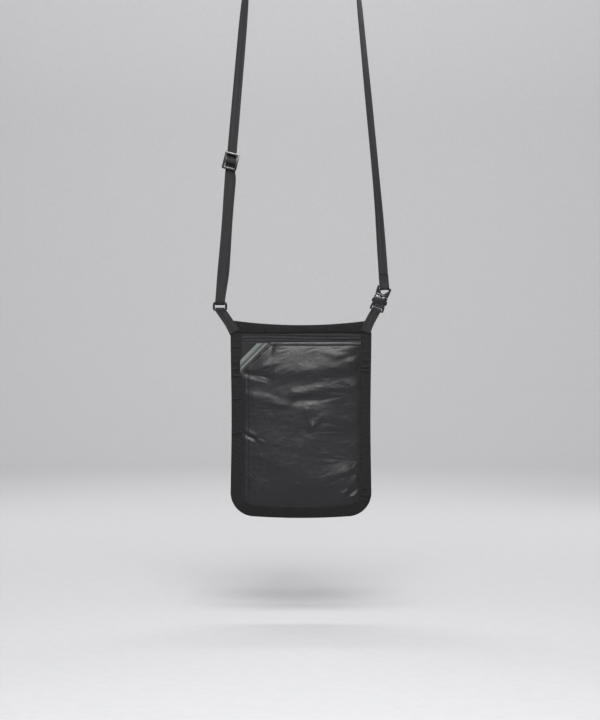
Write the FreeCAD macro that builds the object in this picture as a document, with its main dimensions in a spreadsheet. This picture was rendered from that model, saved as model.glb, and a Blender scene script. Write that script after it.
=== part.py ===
"""Neck pouch wallet: a flat fabric pouch hanging from a webbing neck loop.

Frame: millimetres, +Z up, the pouch's front faces -Y, +X to the right seen from the front.
The origin is the middle of the webbing where the loop rests on the back of the neck.
"""
import FreeCAD, Part
import math
import os
import re
import Sketcher

Vector = FreeCAD.Vector

# Driving dimensions, mm and degrees. Each one becomes an aliased cell of the sheet "Dims".
DIMENSIONS = {
    # the pouch
    "pouch_width": 142.0,
    "pouch_top": -382.0,
    "pouch_bottom": -579.0,
    "corner_radius": 24.0,
    "top_sag": 4.0,
    "binding_width": 10.7,
    "binding_half_depth": 1.35,
    "binding_wall": 0.38,
    "layer": 0.5,
    "divider": 0.8,
    "shell_depth": 6.2,
    "shell_wall": 0.7,
    "shell_slope": 48.0,
    # the front pocket's mouth
    "mouth_z": -403.5,
    "hem_height": 5.0,
    "hem_thick": 0.6,
    "corner_cut": 31.0,
    "label_width": 8.5,
    # the zip in the back
    "zip_z": -417.0,
    "zip_length": 96.0,
    "zip_slot": 8.0,
    "tape_height": 7.0,
    "tape_thick": 0.5,
    "coil_size": 1.5,
    "slider_length": 9.0,
    "pull_length": 13.0,
    "pin_radius": 0.5,
    # webbing and its hardware
    "web_width": 9.6,
    "web_thick": 1.1,
    "bar_radius": 1.15,
    "bar_gap": 0.2,
    "ring_x": -81.0,
    "ring_width": 12.2,
    "ring_pitch": 7.2,
    "ring_corner": 1.6,
    "bar_z": -371.0,
    "tab_slant": 33.0,
    "tab_reach": 27.0,
    "buckle_tab_slant": -6.7,
    "buckle_tab_reach": 25.0,
    # the length adjuster
    "adjuster_x": -70.2,
    "adjuster_z": -222.5,
    "adjuster_tilt": 14.0,
    "adjuster_width": 14.8,
    "adjuster_height": 17.4,
    "adjuster_bar": 2.3,
    "adjuster_depth": 2.4,
    "hump_radius": 1.85,
    # the side-release buckle
    "buckle_x": 75.4,
    "buckle_tilt": 20.0,
    "socket_width": 14.4,
    "socket_height": 11.5,
    "socket_depth": 5.4,
    "socket_foot": 3.0,
    "socket_wall": 0.9,
    "plug_pitch": 23.6,
    "plug_depth": 4.8,
    "arm_width": 1.8,
    "arm_depth": 2.6,
    "arm_low": 5.5,
    "arm_top": 14.3,
    "fold_tilt": -5.0,
    "fold_length": 11.5,
}

# The neck strap's centre line seen from the front, plug end first. Up to the neck it is pulled straight.
STRAP_ROUTE = [
    (82.4, -336.6),
    (76.8, -256.0),
    (55.0, -29.2),
    (22.6, 0.1),
    (-21.0, -0.1),
    (-53.1, -29.8),
    (-69.4, -218.6),
]

doc = FreeCAD.newDocument("NeckPouchWallet")
dims = doc.addObject("Spreadsheet::Sheet", "Dims")
for row, (alias, number) in enumerate(DIMENSIONS.items(), start=1):
    dims.set(f"A{row}", alias)
    dims.set(f"B{row}", str(number))
    dims.setAlias(f"B{row}", alias)
doc.recompute()


def bound(text):
    """An expression written with bare aliases, made ready for setExpression."""

    def rename(match):
        name = match.group()
        return "Dims." + name if name in DIMENSIONS else name

    return re.sub(r"[a-z][a-z_]+", rename, text)


def value(text):
    """The number that an expression stands for."""
    return float(dims.evalExpression(re.sub(r"Dims\.", "", bound(text))))


# ---------------------------------------------------------------- building blocks


def new_body(name, x="0", y="0", z="0", tilt="0"):
    """A body whose place and lean about the Y axis follow the sheet."""
    body = doc.addObject("PartDesign::Body", name)
    body.Label = name
    turn = FreeCAD.Rotation(Vector(0, 1, 0), value(tilt))
    body.Placement = FreeCAD.Placement(Vector(value(x), value(y), value(z)), turn)
    body.setExpression(".Placement.Base.x", bound(x))
    body.setExpression(".Placement.Base.y", bound(y))
    body.setExpression(".Placement.Base.z", bound(z))
    if tilt != "0":
        body.setExpression(".Placement.Rotation.Angle", bound(tilt) + " * 1 deg")
    return body


def new_sketch(body, name, role, offset="0"):
    """An empty sketch parallel to one of the body's origin planes."""
    plane = [item for item in body.Origin.OriginFeatures if item.Role == role][0]
    sketch = body.newObject("Sketcher::SketchObject", name)
    sketch.AttachmentSupport = [(plane, "")]
    sketch.MapMode = "FlatFace"
    sketch.setExpression(".AttachmentOffset.Base.z", bound(offset))
    return sketch


def pin_point(sketch, geometry, end, across, up):
    """Hold a point of the sketch at two expressions counted from the sketch's origin."""
    for kind, text in (("DistanceX", across), ("DistanceY", up)):
        index = sketch.addConstraint(Sketcher.Constraint(kind, -1, 1, geometry, end, value(text)))
        sketch.setExpression(f"Constraints[{index}]", bound(text))


def add_polygon(sketch, corners, arcs=None):
    """A closed outline through corners given as expressions.

    arcs maps a side's number to the radius of the arc that replaces it, positive when it bulges to the
    right of the way round.
    """
    arcs = arcs or {}
    points = [Vector(value(across), value(up), 0) for across, up in corners]
    first = sketch.GeometryCount
    for number, start in enumerate(points):
        end = points[(number + 1) % len(points)]
        if number in arcs:
            sketch.addGeometry(arc_between(start, end, value(arcs[number])), False)
        else:
            sketch.addGeometry(Part.LineSegment(start, end), False)
    for number, (across, up) in enumerate(corners):
        geometry = first + number
        before = first + (number - 1) % len(points)
        near, far = (1, 2)
        if number in arcs and is_flipped(sketch, geometry, points[number]):
            near = 2
        if (number - 1) % len(points) in arcs and not is_flipped(sketch, before, points[number - 1]):
            far = 2
        elif (number - 1) % len(points) in arcs:
            far = 1
        pin_point(sketch, geometry, near, across, up)
        sketch.addConstraint(Sketcher.Constraint("Coincident", before, far, geometry, near))
    for number, radius in arcs.items():
        size_arc(sketch, first + number, corners[number], corners[(number + 1) % len(corners)], radius)


def size_arc(sketch, geometry, start, end, radius):
    """Fix an arc whose ends are pinned: by its radius, or a half circle by its centre, held to its chord."""
    width, height = (value(f"abs(({far}) - ({near}))") for near, far in zip(start, end))
    if abs(2 * value(f"abs({radius})") - max(width, height)) < 1e-6:
        beside = 1 if width > height else 0
        kind = ("DistanceX", "DistanceY")[beside]
        index = sketch.addConstraint(Sketcher.Constraint(kind, -1, 1, geometry, 3, value(start[beside])))
        sketch.setExpression(f"Constraints[{index}]", bound(start[beside]))
    else:
        index = sketch.addConstraint(Sketcher.Constraint("Radius", geometry, value(f"abs({radius})")))
        sketch.setExpression(f"Constraints[{index}]", bound(f"abs({radius})"))


def arc_between(start, end, radius):
    """The arc of a circle from start to end, bulging right for a positive radius."""
    chord = end - start
    right = Vector(chord.y, -chord.x, 0).normalize()
    half = chord.Length / 2
    rise = abs(radius) - math.sqrt(radius * radius - half * half)
    middle = (start + end) / 2 + right * math.copysign(rise, radius)
    return Part.Arc(start, middle, end)


def is_flipped(sketch, geometry, start):
    """True when an arc's own start point is the outline's end point."""
    return (sketch.getPoint(geometry, 1) - start).Length > 1e-4


def add_circle(sketch, across, up, radius):
    """A circle with its centre and radius given as expressions."""
    centre = Vector(value(across), value(up), 0)
    geometry = sketch.addGeometry(Part.Circle(centre, Vector(0, 0, 1), value(radius)), False)
    pin_point(sketch, geometry, 3, across, up)
    index = sketch.addConstraint(Sketcher.Constraint("Radius", geometry, value(radius)))
    sketch.setExpression(f"Constraints[{index}]", bound(radius))


def rectangle(left, right, low, high):
    """The corners of an upright rectangle."""
    return [(left, low), (right, low), (right, high), (left, high)]


def pad(body, sketch, length, reverse=False, taper=None):
    """Pad a sketch and keep the length bound to the sheet."""
    feature = body.newObject("PartDesign::Pad", sketch.Name + "_pad")
    feature.Profile = sketch
    feature.setExpression("Length", bound(length))
    feature.Reversed = reverse
    if taper:
        feature.setExpression("TaperAngle", bound(taper))
    sketch.Visibility = False
    doc.recompute()
    return feature


def pocket(body, sketch, length, reverse=False, taper=None):
    """Cut a sketch out of the body and stop if the cut took nothing away."""
    before = body.Shape.Volume
    feature = body.newObject("PartDesign::Pocket", sketch.Name + "_cut")
    feature.Profile = sketch
    feature.setExpression("Length", bound(length))
    feature.Reversed = reverse
    if taper:
        feature.setExpression("TaperAngle", bound(taper))
    sketch.Visibility = False
    doc.recompute()
    if body.Shape.Volume > before - 1e-3:
        raise RuntimeError(f"{feature.Name} cuts nothing")
    return feature


def fillet(body, radius, wanted, name):
    """Round the edges of the body's tip that the test picks."""
    base = body.Tip
    names = [f"Edge{n}" for n, edge in enumerate(base.Shape.Edges, start=1) if wanted(edge)]
    feature = body.newObject("PartDesign::Fillet", name)
    feature.Base = (base, names)
    feature.setExpression("Radius", bound(radius))
    doc.recompute()
    return feature


def is_along(edge, axis):
    """True for a straight edge that runs along an axis."""
    direction = edge.tangentAt(edge.FirstParameter)
    return edge.Curve.TypeId == "Part::GeomLine" and abs(direction.dot(axis)) > 0.999


def pouch_outline(inset, top, arch="0"):
    """The pouch's outline drawn in by an inset, with round bottom corners, and its arcs."""
    left = f"-pouch_width / 2 + ({inset})"
    right = f"pouch_width / 2 - ({inset})"
    low = f"pouch_bottom + ({inset})"
    radius = f"corner_radius - 0.6 * ({inset})"
    corners = [
        (left, f"{low} + {radius}"),
        (f"{left} + {radius}", low),
        (f"{right} - ({radius})", low),
        (right, f"{low} + {radius}"),
        (right, top),
        (left, top),
    ]
    arcs = {0: radius, 2: radius}
    if arch != "0":
        half = f"(pouch_width / 2 - ({inset}))"
        arcs[4] = f"-({half} * {half} / (2 * ({arch})) + ({arch}) / 2)"
    return corners, arcs


# ---------------------------------------------------------------- the pouch's fabric


def inner_panel():
    """The middle layer: the front pocket's back wall and the main compartment's front wall."""
    body = new_body("inner_panel")
    sheet = new_sketch(body, "inner_sheet", "XZ_Plane", "divider / 2")
    add_polygon(sheet, *pouch_outline("2 * layer", "pouch_top - 2 * layer", "top_sag"))
    pad(body, sheet, "divider", reverse=True)
    return body


def shell(name, side, top, rim_top):
    """A tray of fabric with a flat rim for the binding; side is -1 at the front, 1 at the back."""
    body = new_body(name)
    start = "divider / 2 + 0.05" if side < 0 else "-(divider / 2 + 0.05)"
    back = side > 0
    rim = new_sketch(body, name + "_rim", "XZ_Plane", start)
    add_polygon(rim, *pouch_outline("2 * layer", rim_top))
    pad(body, rim, "layer", reverse=back)
    outer = new_sketch(body, name + "_outer", "XZ_Plane", start)
    add_polygon(outer, *pouch_outline("binding_width + 0.3", top))
    pad(body, outer, "shell_depth", reverse=back, taper="-shell_slope")
    inner = new_sketch(body, name + "_inner", "XZ_Plane", start)
    add_polygon(inner, *pouch_outline("binding_width + 0.3 + shell_wall", f"{top} - shell_wall"))
    pocket(body, inner, "shell_depth - shell_wall", reverse=not back, taper="-shell_slope")
    return body


def front_panel():
    """The front pocket's face: open along the mouth, with its top left corner cut off."""
    body = shell("front_panel", -1, "mouth_z + 2 * shell_depth", "mouth_z")
    mouth = new_sketch(body, "front_panel_mouth", "XZ_Plane", "0")
    corner = "-pouch_width / 2 + binding_width + corner_cut"
    add_polygon(
        mouth,
        [
            (f"{corner} - pouch_width / 2", "mouth_z - pouch_width / 2"),
            (corner, "mouth_z"),
            ("pouch_width", "mouth_z"),
            ("pouch_width", "pouch_top + pouch_width"),
            ("-2 * pouch_width", "pouch_top + pouch_width"),
            ("-2 * pouch_width", "mouth_z - pouch_width / 2"),
        ],
    )
    pocket(body, mouth, "2 * shell_depth", reverse=True)
    return body


def back_panel(name, keep_low):
    """The back's fabric below or above the zip, with half of the zip's slot cut out of it."""
    body = shell(name, 1, "pouch_top - binding_width - 2", "pouch_top - 2 * layer - top_sag")
    slot = new_sketch(body, name + "_slot", "XZ_Plane", "0")
    add_polygon(
        slot,
        rectangle("-zip_length / 2", "zip_length / 2", "zip_z - zip_slot / 2", "zip_z + zip_slot / 2"),
    )
    pocket(body, slot, "2 * shell_depth")
    away = new_sketch(body, name + "_away", "XZ_Plane", "0")
    if keep_low:
        add_polygon(away, rectangle("-pouch_width", "pouch_width", "zip_z", "zip_z + pouch_width"))
    else:
        add_polygon(away, rectangle("-pouch_width", "pouch_width", "2 * pouch_bottom", "zip_z"))
    pocket(body, away, "2 * shell_depth")
    return body


def pocket_hem():
    """The doubled edge sewn along the front pocket's mouth."""
    body = new_body("pocket_hem")
    band = new_sketch(body, "hem_band", "XZ_Plane", "divider / 2 + 0.05 + shell_depth")
    reach = "(binding_width + 0.3 + shell_depth * tan(shell_slope))"
    add_polygon(
        band,
        rectangle(
            "-pouch_width / 2 + binding_width + corner_cut + 1",
            f"pouch_width / 2 - {reach} - 0.5",
            "mouth_z - hem_height",
            "mouth_z",
        ),
    )
    pad(body, band, "hem_thick")
    return body


def corner_label():
    """A blank woven band sewn across the pocket's cut corner, on the inner panel."""
    body = new_body("corner_label")
    band = new_sketch(body, "label_band", "XZ_Plane", "divider / 2")
    left = "-pouch_width / 2 + binding_width + 0.6"
    right = "-pouch_width / 2 + binding_width + corner_cut"
    add_polygon(
        band,
        [
            (left, "mouth_z - corner_cut + 0.6"),
            (right, "mouth_z"),
            (f"{right} - 1.4 * label_width", "mouth_z"),
            (left, "mouth_z - corner_cut + 0.6 + 1.4 * label_width"),
        ],
    )
    pad(body, band, "layer / 2")
    return body


def perimeter_binding():
    """Ribbed tape folded over the two sides and the bottom."""
    body = new_body("perimeter_binding")
    top = "pouch_top - binding_width - 1.6"
    tape = new_sketch(body, "perimeter_tape", "XZ_Plane", "binding_half_depth")
    add_polygon(tape, *pouch_outline("0", top))
    pad(body, tape, "2 * binding_half_depth", reverse=True)
    window = new_sketch(body, "perimeter_window", "XZ_Plane", "binding_half_depth")
    add_polygon(window, *pouch_outline("binding_width", "pouch_top"))
    pocket(body, window, "2 * binding_half_depth")
    fold = new_sketch(body, "perimeter_fold", "XZ_Plane", "binding_half_depth - binding_wall")
    add_polygon(fold, *pouch_outline("binding_wall", "pouch_top"))
    pocket(body, fold, "2 * (binding_half_depth - binding_wall)")
    return body


def top_binding():
    """Ribbed tape folded over the top edge, which dips in the middle."""
    body = new_body("top_binding")
    low = "pouch_top - binding_width - 1.5"
    half = "(pouch_width / 2 - layer)"
    arch = f"-({half} * {half} / (2 * top_sag) + top_sag / 2)"
    tape = new_sketch(body, "top_tape", "XZ_Plane", "binding_half_depth")
    add_polygon(tape, rectangle(f"-{half}", half, low, "pouch_top"), {2: arch})
    pad(body, tape, "2 * binding_half_depth", reverse=True)
    fold = new_sketch(body, "top_fold", "XZ_Plane", "binding_half_depth - binding_wall")
    add_polygon(fold, rectangle(f"-{half}", half, f"{low} - 1", "pouch_top - binding_wall"), {2: arch})
    pocket(body, fold, "2 * (binding_half_depth - binding_wall)")
    return body


# ---------------------------------------------------------------- the zip


def zip_tape(name, side):
    """One woven tape, sewn inside the back panel's edge; side is 1 above the teeth, -1 below."""
    body = new_body(name)
    inside = "divider / 2 + 0.05 + shell_depth - shell_wall - 0.1"
    band = new_sketch(body, name + "_band", "XZ_Plane", f"-({inside})")
    near = "zip_z + coil_size / 4" if side > 0 else "zip_z - tape_height"
    far = "zip_z + tape_height" if side > 0 else "zip_z - coil_size / 4"
    add_polygon(band, rectangle("-zip_length / 2 - 2", "zip_length / 2 + 2", near, far))
    pad(body, band, "tape_thick")
    return body


def zip_coil(name, side):
    """One row of the closed coil, standing on the outer face of its tape."""
    body = new_body(name)
    face = "divider / 2 + 0.05 + shell_depth - shell_wall - 0.08"
    row = new_sketch(body, name + "_row", "XZ_Plane", f"-({face})")
    low = "zip_z + 0.05" if side > 0 else "zip_z - 0.05 - coil_size"
    high = "zip_z + 0.05 + coil_size" if side > 0 else "zip_z - 0.05"
    add_polygon(row, rectangle("-zip_length / 2 + 1.2", "zip_length / 2 - 1.2", low, high))
    pad(body, row, "coil_size", reverse=True)
    return body


COIL_BACK = "(divider / 2 + 0.05 + shell_depth - shell_wall - 0.08 + coil_size)"
SLIDER_X = "(zip_length / 2 - 1.2 - slider_length / 2 - 0.4)"
PIN_Y = f"({COIL_BACK} + 0.2 + 1 + 1.35)"


def zip_slider():
    """The slider's outer plate and side flanges, with two ears that hold the pull's pin."""
    body = new_body("zip_slider", SLIDER_X, "0", "zip_z")
    plate = new_sketch(body, "slider_plate", "XZ_Plane", f"-({COIL_BACK} + 0.2)")
    add_polygon(plate, rectangle("-slider_length / 2", "slider_length / 2", "-3.3", "3.3"))
    pad(body, plate, "1", reverse=True)
    for name, low, high in (("slider_flange_low", "-3.3", "-1.9"), ("slider_flange_high", "1.9", "3.3")):
        flange = new_sketch(body, name, "XZ_Plane", f"-({COIL_BACK} + 0.2)")
        add_polygon(flange, rectangle("-slider_length / 2", "slider_length / 2", low, high))
        pad(body, flange, "coil_size - 0.1")
    for name, start in (("slider_ear_low", "-2.1"), ("slider_ear_high", "1.3")):
        ear = new_sketch(body, name, "XY_Plane", start)
        add_polygon(ear, rectangle("-1", "1", f"{COIL_BACK} + 1", f"{PIN_Y} + 0.9"))
        pad(body, ear, "0.8")
    pin = new_sketch(body, "slider_pin", "XY_Plane", "-1.4")
    add_circle(pin, "0", PIN_Y, "pin_radius")
    pad(body, pin, "2.8")
    return body


def zip_pull():
    """The flat pull: an eye that turns on the slider's pin and a tongue with a finger hole."""
    body = new_body("zip_pull", SLIDER_X, "0", "zip_z")
    eye = new_sketch(body, "pull_eye", "XY_Plane", "-1.1")
    add_circle(eye, "0", PIN_Y, "1.15")
    pad(body, eye, "2.2")
    tongue = new_sketch(body, "pull_tongue", "XY_Plane", "-1.1")
    add_polygon(tongue, rectangle("-3.2", "0", f"{PIN_Y} - 0.5", f"{PIN_Y} + 0.5"))
    pad(body, tongue, "2.2")
    blade = new_sketch(body, "pull_blade", "XZ_Plane", f"-({PIN_Y} + 0.5)")
    add_polygon(blade, rectangle("-pull_length", "-2.4", "-2.2", "2.2"))
    pad(body, blade, "1")
    bore = new_sketch(body, "pull_bore", "XY_Plane", "-2")
    add_circle(bore, "0", PIN_Y, "pin_radius + 0.05")
    pocket(body, bore, "4", reverse=True)
    hole = new_sketch(body, "pull_hole", "XZ_Plane", f"-({PIN_Y} + 1)")
    add_polygon(hole, rectangle("2.5 - pull_length", "5 - pull_length", "-1", "1"))
    pocket(body, hole, "2", reverse=True)
    return body


def zip_stops():
    """The two metal stops clamped over the ends of the coil."""
    stops = []
    for name, start in (("stop_low", "-zip_length / 2"), ("stop_high", "zip_length / 2 - 1")):
        stop = doc.addObject("Part::Box", name)
        stop.setExpression("Length", "1")
        stop.setExpression("Width", bound("coil_size + 0.2"))
        stop.setExpression("Height", bound("2 * coil_size + 0.6"))
        stop.setExpression(".Placement.Base.x", bound(start))
        stop.setExpression(".Placement.Base.y", bound(f"{COIL_BACK} - coil_size"))
        stop.setExpression(".Placement.Base.z", bound("zip_z - coil_size - 0.3"))
        stops.append(stop)
    group = doc.addObject("Part::Compound", "zip_stops")
    group.Label = "zip_stops"
    group.Links = stops
    return group


# ---------------------------------------------------------------- webbing and hardware

LOOP_IN = "(bar_radius + bar_gap)"
LOOP_OUT = "(bar_radius + bar_gap + web_thick)"


def strap_tab(name, place, slant, reach):
    """Webbing folded over a bar, its two legs sewn to the pouch's front and back."""
    body = new_body(name, *place)
    turn = new_sketch(body, name + "_turn", "YZ_Plane", "-web_width / 2")
    corners = [(f"-{LOOP_OUT}", "0"), (f"-{LOOP_IN}", "0"), (LOOP_IN, "0"), (LOOP_OUT, "0")]
    add_polygon(turn, corners, {1: f"-{LOOP_IN}", 3: LOOP_OUT})
    pad(body, turn, "web_width")
    across = f"({reach}) * sin({slant})"
    down = f"({reach}) * cos({slant})"
    leg = [
        ("-web_width / 2", "0"),
        (f"{across} - web_width / 2 * cos({slant})", f"-{down} - web_width / 2 * sin({slant})"),
        (f"{across} + web_width / 2 * cos({slant})", f"-{down} + web_width / 2 * sin({slant})"),
        ("web_width / 2", "0"),
    ]
    for part, start in (("_front", LOOP_IN), ("_back", f"-{LOOP_OUT}")):
        sketch = new_sketch(body, name + part, "XZ_Plane", start)
        add_polygon(sketch, leg)
        pad(body, sketch, "web_thick")
    return body


def ring():
    """A rectangular ring of round wire; its lower bar carries the pouch's tab."""
    body = new_body("ring", "ring_x", "0", "bar_z")
    path = new_sketch(body, "ring_path", "XZ_Plane")
    half = "ring_width / 2"
    corners = [
        ("ring_corner - ring_width / 2", "0"),
        (f"{half} - ring_corner", "0"),
        (half, "ring_corner"),
        (half, "ring_pitch - ring_corner"),
        (f"{half} - ring_corner", "ring_pitch"),
        ("ring_corner - ring_width / 2", "ring_pitch"),
        ("-ring_width / 2", "ring_pitch - ring_corner"),
        ("-ring_width / 2", "ring_corner"),
    ]
    add_polygon(path, corners, {number: "ring_corner" for number in (1, 3, 5, 7)})
    section = new_sketch(body, "ring_section", "YZ_Plane")
    add_circle(section, "0", "0", "bar_radius")
    wire = body.newObject("PartDesign::AdditivePipe", "ring_wire")
    wire.Profile = section
    wire.Spine = path
    doc.recompute()
    return body


def ring_turn():
    """The neck webbing's turn round the ring's upper bar."""
    body = new_body("ring_turn", "ring_x", "0", "bar_z + ring_pitch")
    turn = new_sketch(body, "ring_turn_profile", "YZ_Plane", "-web_width / 2")
    corners = [(f"-{LOOP_OUT}", "0"), (f"-{LOOP_IN}", "0"), (LOOP_IN, "0"), (LOOP_OUT, "0")]
    add_polygon(turn, corners, {1: LOOP_IN, 3: f"-{LOOP_OUT}"})
    pad(body, turn, "web_width")
    return body


def loop_layer(name, low, high):
    """One straight layer of the doubled webbing, between two points on its centre line."""
    start = Vector(*(value(text) for text in low))
    run = Vector(*(value(text) for text in high)) - start
    layer = doc.addObject("Part::Box", name)
    layer.Label = name
    layer.setExpression("Length", bound("web_width"))
    layer.setExpression("Width", bound("web_thick"))
    layer.Height = run.Length
    lean = FreeCAD.Rotation(Vector(1, 0, 0), Vector(0, 1, 0), run, "ZXY")
    corner = lean.multVec(Vector(value("web_width"), value("web_thick"), 0)) / 2
    layer.Placement = FreeCAD.Placement(start - corner, lean)
    return layer


def adjuster():
    """A flat slider with two slots and a middle bar that the webbing goes over."""
    body = new_body("adjuster", "adjuster_x", "0", "adjuster_z", "adjuster_tilt")
    frame = new_sketch(body, "adjuster_frame", "XZ_Plane", "web_thick / 2 + 0.15")
    half = "adjuster_width / 2"
    tall = "adjuster_height / 2"
    add_polygon(frame, rectangle(f"-{half}", half, f"-{tall}", tall))
    inner = f"({half} - adjuster_bar)"
    add_polygon(frame, rectangle(f"-{inner}", inner, "adjuster_bar / 2", f"{tall} - adjuster_bar"))
    add_polygon(frame, rectangle(f"-{inner}", inner, f"adjuster_bar - {tall}", "-adjuster_bar / 2"))
    pad(body, frame, "adjuster_depth")
    fillet(body, "adjuster_bar / 4", lambda edge: is_along(edge, Vector(1, 0, 0)), "adjuster_round")
    return body


def strap_hump():
    """The webbing where it climbs over the adjuster's middle bar; it travels with the adjuster."""
    body = new_body("strap_hump", "adjuster_x", "0", "adjuster_z", "adjuster_tilt")
    profile = new_sketch(body, "hump_profile", "YZ_Plane", "-web_width / 2")
    middle = "-(web_thick / 2 + 0.15 + adjuster_depth / 2)"
    outer = "(hump_radius + web_thick)"
    corners = [
        ("web_thick / 2", outer),
        (middle, outer),
        (middle, f"-{outer}"),
        ("web_thick / 2", f"-{outer}"),
        ("web_thick / 2", "-hump_radius"),
        (middle, "-hump_radius"),
        (middle, "hump_radius"),
        ("web_thick / 2", "hump_radius"),
    ]
    add_polygon(profile, corners, {1: outer, 5: "-hump_radius"})
    pad(body, profile, "web_width")
    return body


def strap_route():
    """The neck webbing's centre line: straight runs joined by tangent arcs, with each arc's radius."""
    points = [Vector(x, 0, z) for x, z in STRAP_ROUTE]
    edges = []
    radii = []
    start = points[0]
    for before, corner, after in zip(points, points[1:], points[2:]):
        back = (before - corner).normalize()
        ahead = (after - corner).normalize()
        half_turn = (math.pi - back.getAngle(ahead)) / 2
        shorter = min((before - corner).Length, (after - corner).Length)
        radius = 0.45 * shorter / math.tan(half_turn)
        reach = 0.45 * shorter
        inward = (back + ahead).normalize()
        middle = corner + inward * (radius / math.cos(half_turn) - radius)
        edges.append(Part.LineSegment(start, corner + back * reach).toShape())
        edges.append(Part.Arc(corner + back * reach, middle, corner + ahead * reach).toShape())
        start = corner + ahead * reach
        radii.append(round(radius, 1))
    edges.append(Part.LineSegment(start, points[-1]).toShape())
    return Part.Wire(edges), radii


def neck_strap():
    """The single layer of flat webbing from the buckle over the neck to the adjuster."""
    path, radii = strap_route()
    start = Vector(*(STRAP_ROUTE[0][0], 0, STRAP_ROUTE[0][1]))
    run = Vector(STRAP_ROUTE[1][0], 0, STRAP_ROUTE[1][1]) - start
    side = run.cross(Vector(0, 1, 0)).normalize() * (value("web_width") / 2)
    depth = Vector(0, value("web_thick") / 2, 0)
    corners = [start + side + depth, start - side + depth, start - side - depth, start + side - depth]
    section = Part.makePolygon(corners + corners[:1])
    strap = doc.addObject("Part::Feature", "neck_strap")
    strap.Label = "neck_strap"
    strap.Shape = path.makePipeShell([section], True, False)
    strap.Placement = FreeCAD.Placement()
    flat = value("web_width") * value("web_thick")
    print("neck strap: arc radii", radii, "length", round(path.Length, 1))
    print("neck strap: volume", round(strap.Shape.Volume, 1))
    print("section x length", round(flat * path.Length, 1))
    return strap


BUCKLE_PLACE = ("buckle_x", "0", "bar_z", "buckle_tilt")


def buckle_socket():
    """The buckle's lower half: a bar for the tab and a hollow housing with a window in each side."""
    body = new_body("buckle_socket", *BUCKLE_PLACE)
    half = "socket_width / 2"
    foot = new_sketch(body, "socket_foot_frame", "XZ_Plane", "bar_radius")
    add_polygon(foot, rectangle(f"-{half}", half, "-bar_radius", "socket_foot + 0.5"))
    slot = f"({half} - 2.2)"
    add_polygon(foot, rectangle(f"-{slot}", slot, "bar_radius", "socket_foot"))
    pad(body, foot, "2 * bar_radius", reverse=True)
    fillet(
        body,
        "bar_radius - 0.1",
        lambda edge: is_along(edge, Vector(1, 0, 0)) and edge.CenterOfMass.z < value("bar_radius") + 0.1,
        "socket_bar_round",
    )
    box = new_sketch(body, "socket_box", "XZ_Plane", "socket_depth / 2")
    add_polygon(box, rectangle(f"-{half}", half, "socket_foot", "socket_foot + socket_height"))
    pad(body, box, "socket_depth", reverse=True)
    fillet(
        body,
        "1.2",
        lambda edge: is_along(edge, Vector(0, 0, 1)) and abs(edge.CenterOfMass.y) > value("bar_radius") + 0.1,
        "socket_side_round",
    )
    hollow = new_sketch(body, "socket_hollow", "XY_Plane", "socket_foot + socket_wall")
    inner = f"({half} - socket_wall)"
    deep = "(socket_depth / 2 - socket_wall)"
    add_polygon(hollow, rectangle(f"-{inner}", inner, f"-{deep}", deep))
    pocket(body, hollow, "socket_height", reverse=True)
    window = new_sketch(body, "socket_window", "YZ_Plane", "-socket_width")
    add_polygon(window, rectangle("-arm_depth / 2 - 0.3", "arm_depth / 2 + 0.3", "arm_low", "arm_low + 6.4"))
    pocket(body, window, "2 * socket_width", reverse=True)
    return body


def buckle_plug():
    """The buckle's upper half: a bar for the webbing, a shoulder and a middle prong."""
    body = new_body("buckle_plug", *BUCKLE_PLACE)
    half = "socket_width / 2"
    low = "(socket_foot + socket_height + 0.15)"
    frame = new_sketch(body, "plug_frame", "XZ_Plane", "bar_radius")
    high = "plug_pitch + bar_radius"
    add_polygon(frame, rectangle(f"-{half}", half, low, high))
    opening = [
        ("-1.2", f"{low} + 2.6"),
        ("1.2", f"{low} + 2.6"),
        (f"{half} - 2.2", "plug_pitch - bar_radius"),
        (f"2.2 - {half}", "plug_pitch - bar_radius"),
    ]
    add_polygon(frame, opening)
    pad(body, frame, "2 * bar_radius", reverse=True)
    fillet(
        body,
        "bar_radius - 0.1",
        lambda edge: is_along(edge, Vector(1, 0, 0))
        and edge.CenterOfMass.z > value("plug_pitch - bar_radius") - 0.1,
        "plug_bar_round",
    )
    shoulder = new_sketch(body, "plug_shoulder", "XZ_Plane", "plug_depth / 2")
    add_polygon(shoulder, rectangle(f"0.3 - {half}", f"{half} - 0.3", low, f"{low} + 2.4"))
    pad(body, shoulder, "plug_depth", reverse=True)
    prong = new_sketch(body, "plug_prong", "XZ_Plane", "1.4")
    add_polygon(prong, rectangle("-1.5", "1.5", "arm_low", f"{low} + 0.5"))
    pad(body, prong, "2.8", reverse=True)
    return body


def release_arm(name, side):
    """A springy arm that clicks into the socket's side window; side is -1 left, 1 right."""
    body = new_body(name, *BUCKLE_PLACE)
    arm = new_sketch(body, name + "_outline", "XZ_Plane", "arm_depth / 2")
    near = f"{side} * (socket_width / 2 - socket_wall - 0.3 - arm_width)"
    far = f"{side} * (socket_width / 2 - socket_wall - 0.3)"
    out = f"{side} * (socket_width / 2 + 0.9)"
    corners = [
        (near, "arm_top"),
        (near, "arm_low"),
        (far, "arm_low + 0.4"),
        (out, "arm_low + 2.4"),
        (out, "arm_low + 4.6"),
        (far, "arm_low + 6"),
        (far, "arm_top"),
    ]
    add_polygon(arm, corners)
    pad(body, arm, "arm_depth", reverse=True)
    return body


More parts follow.
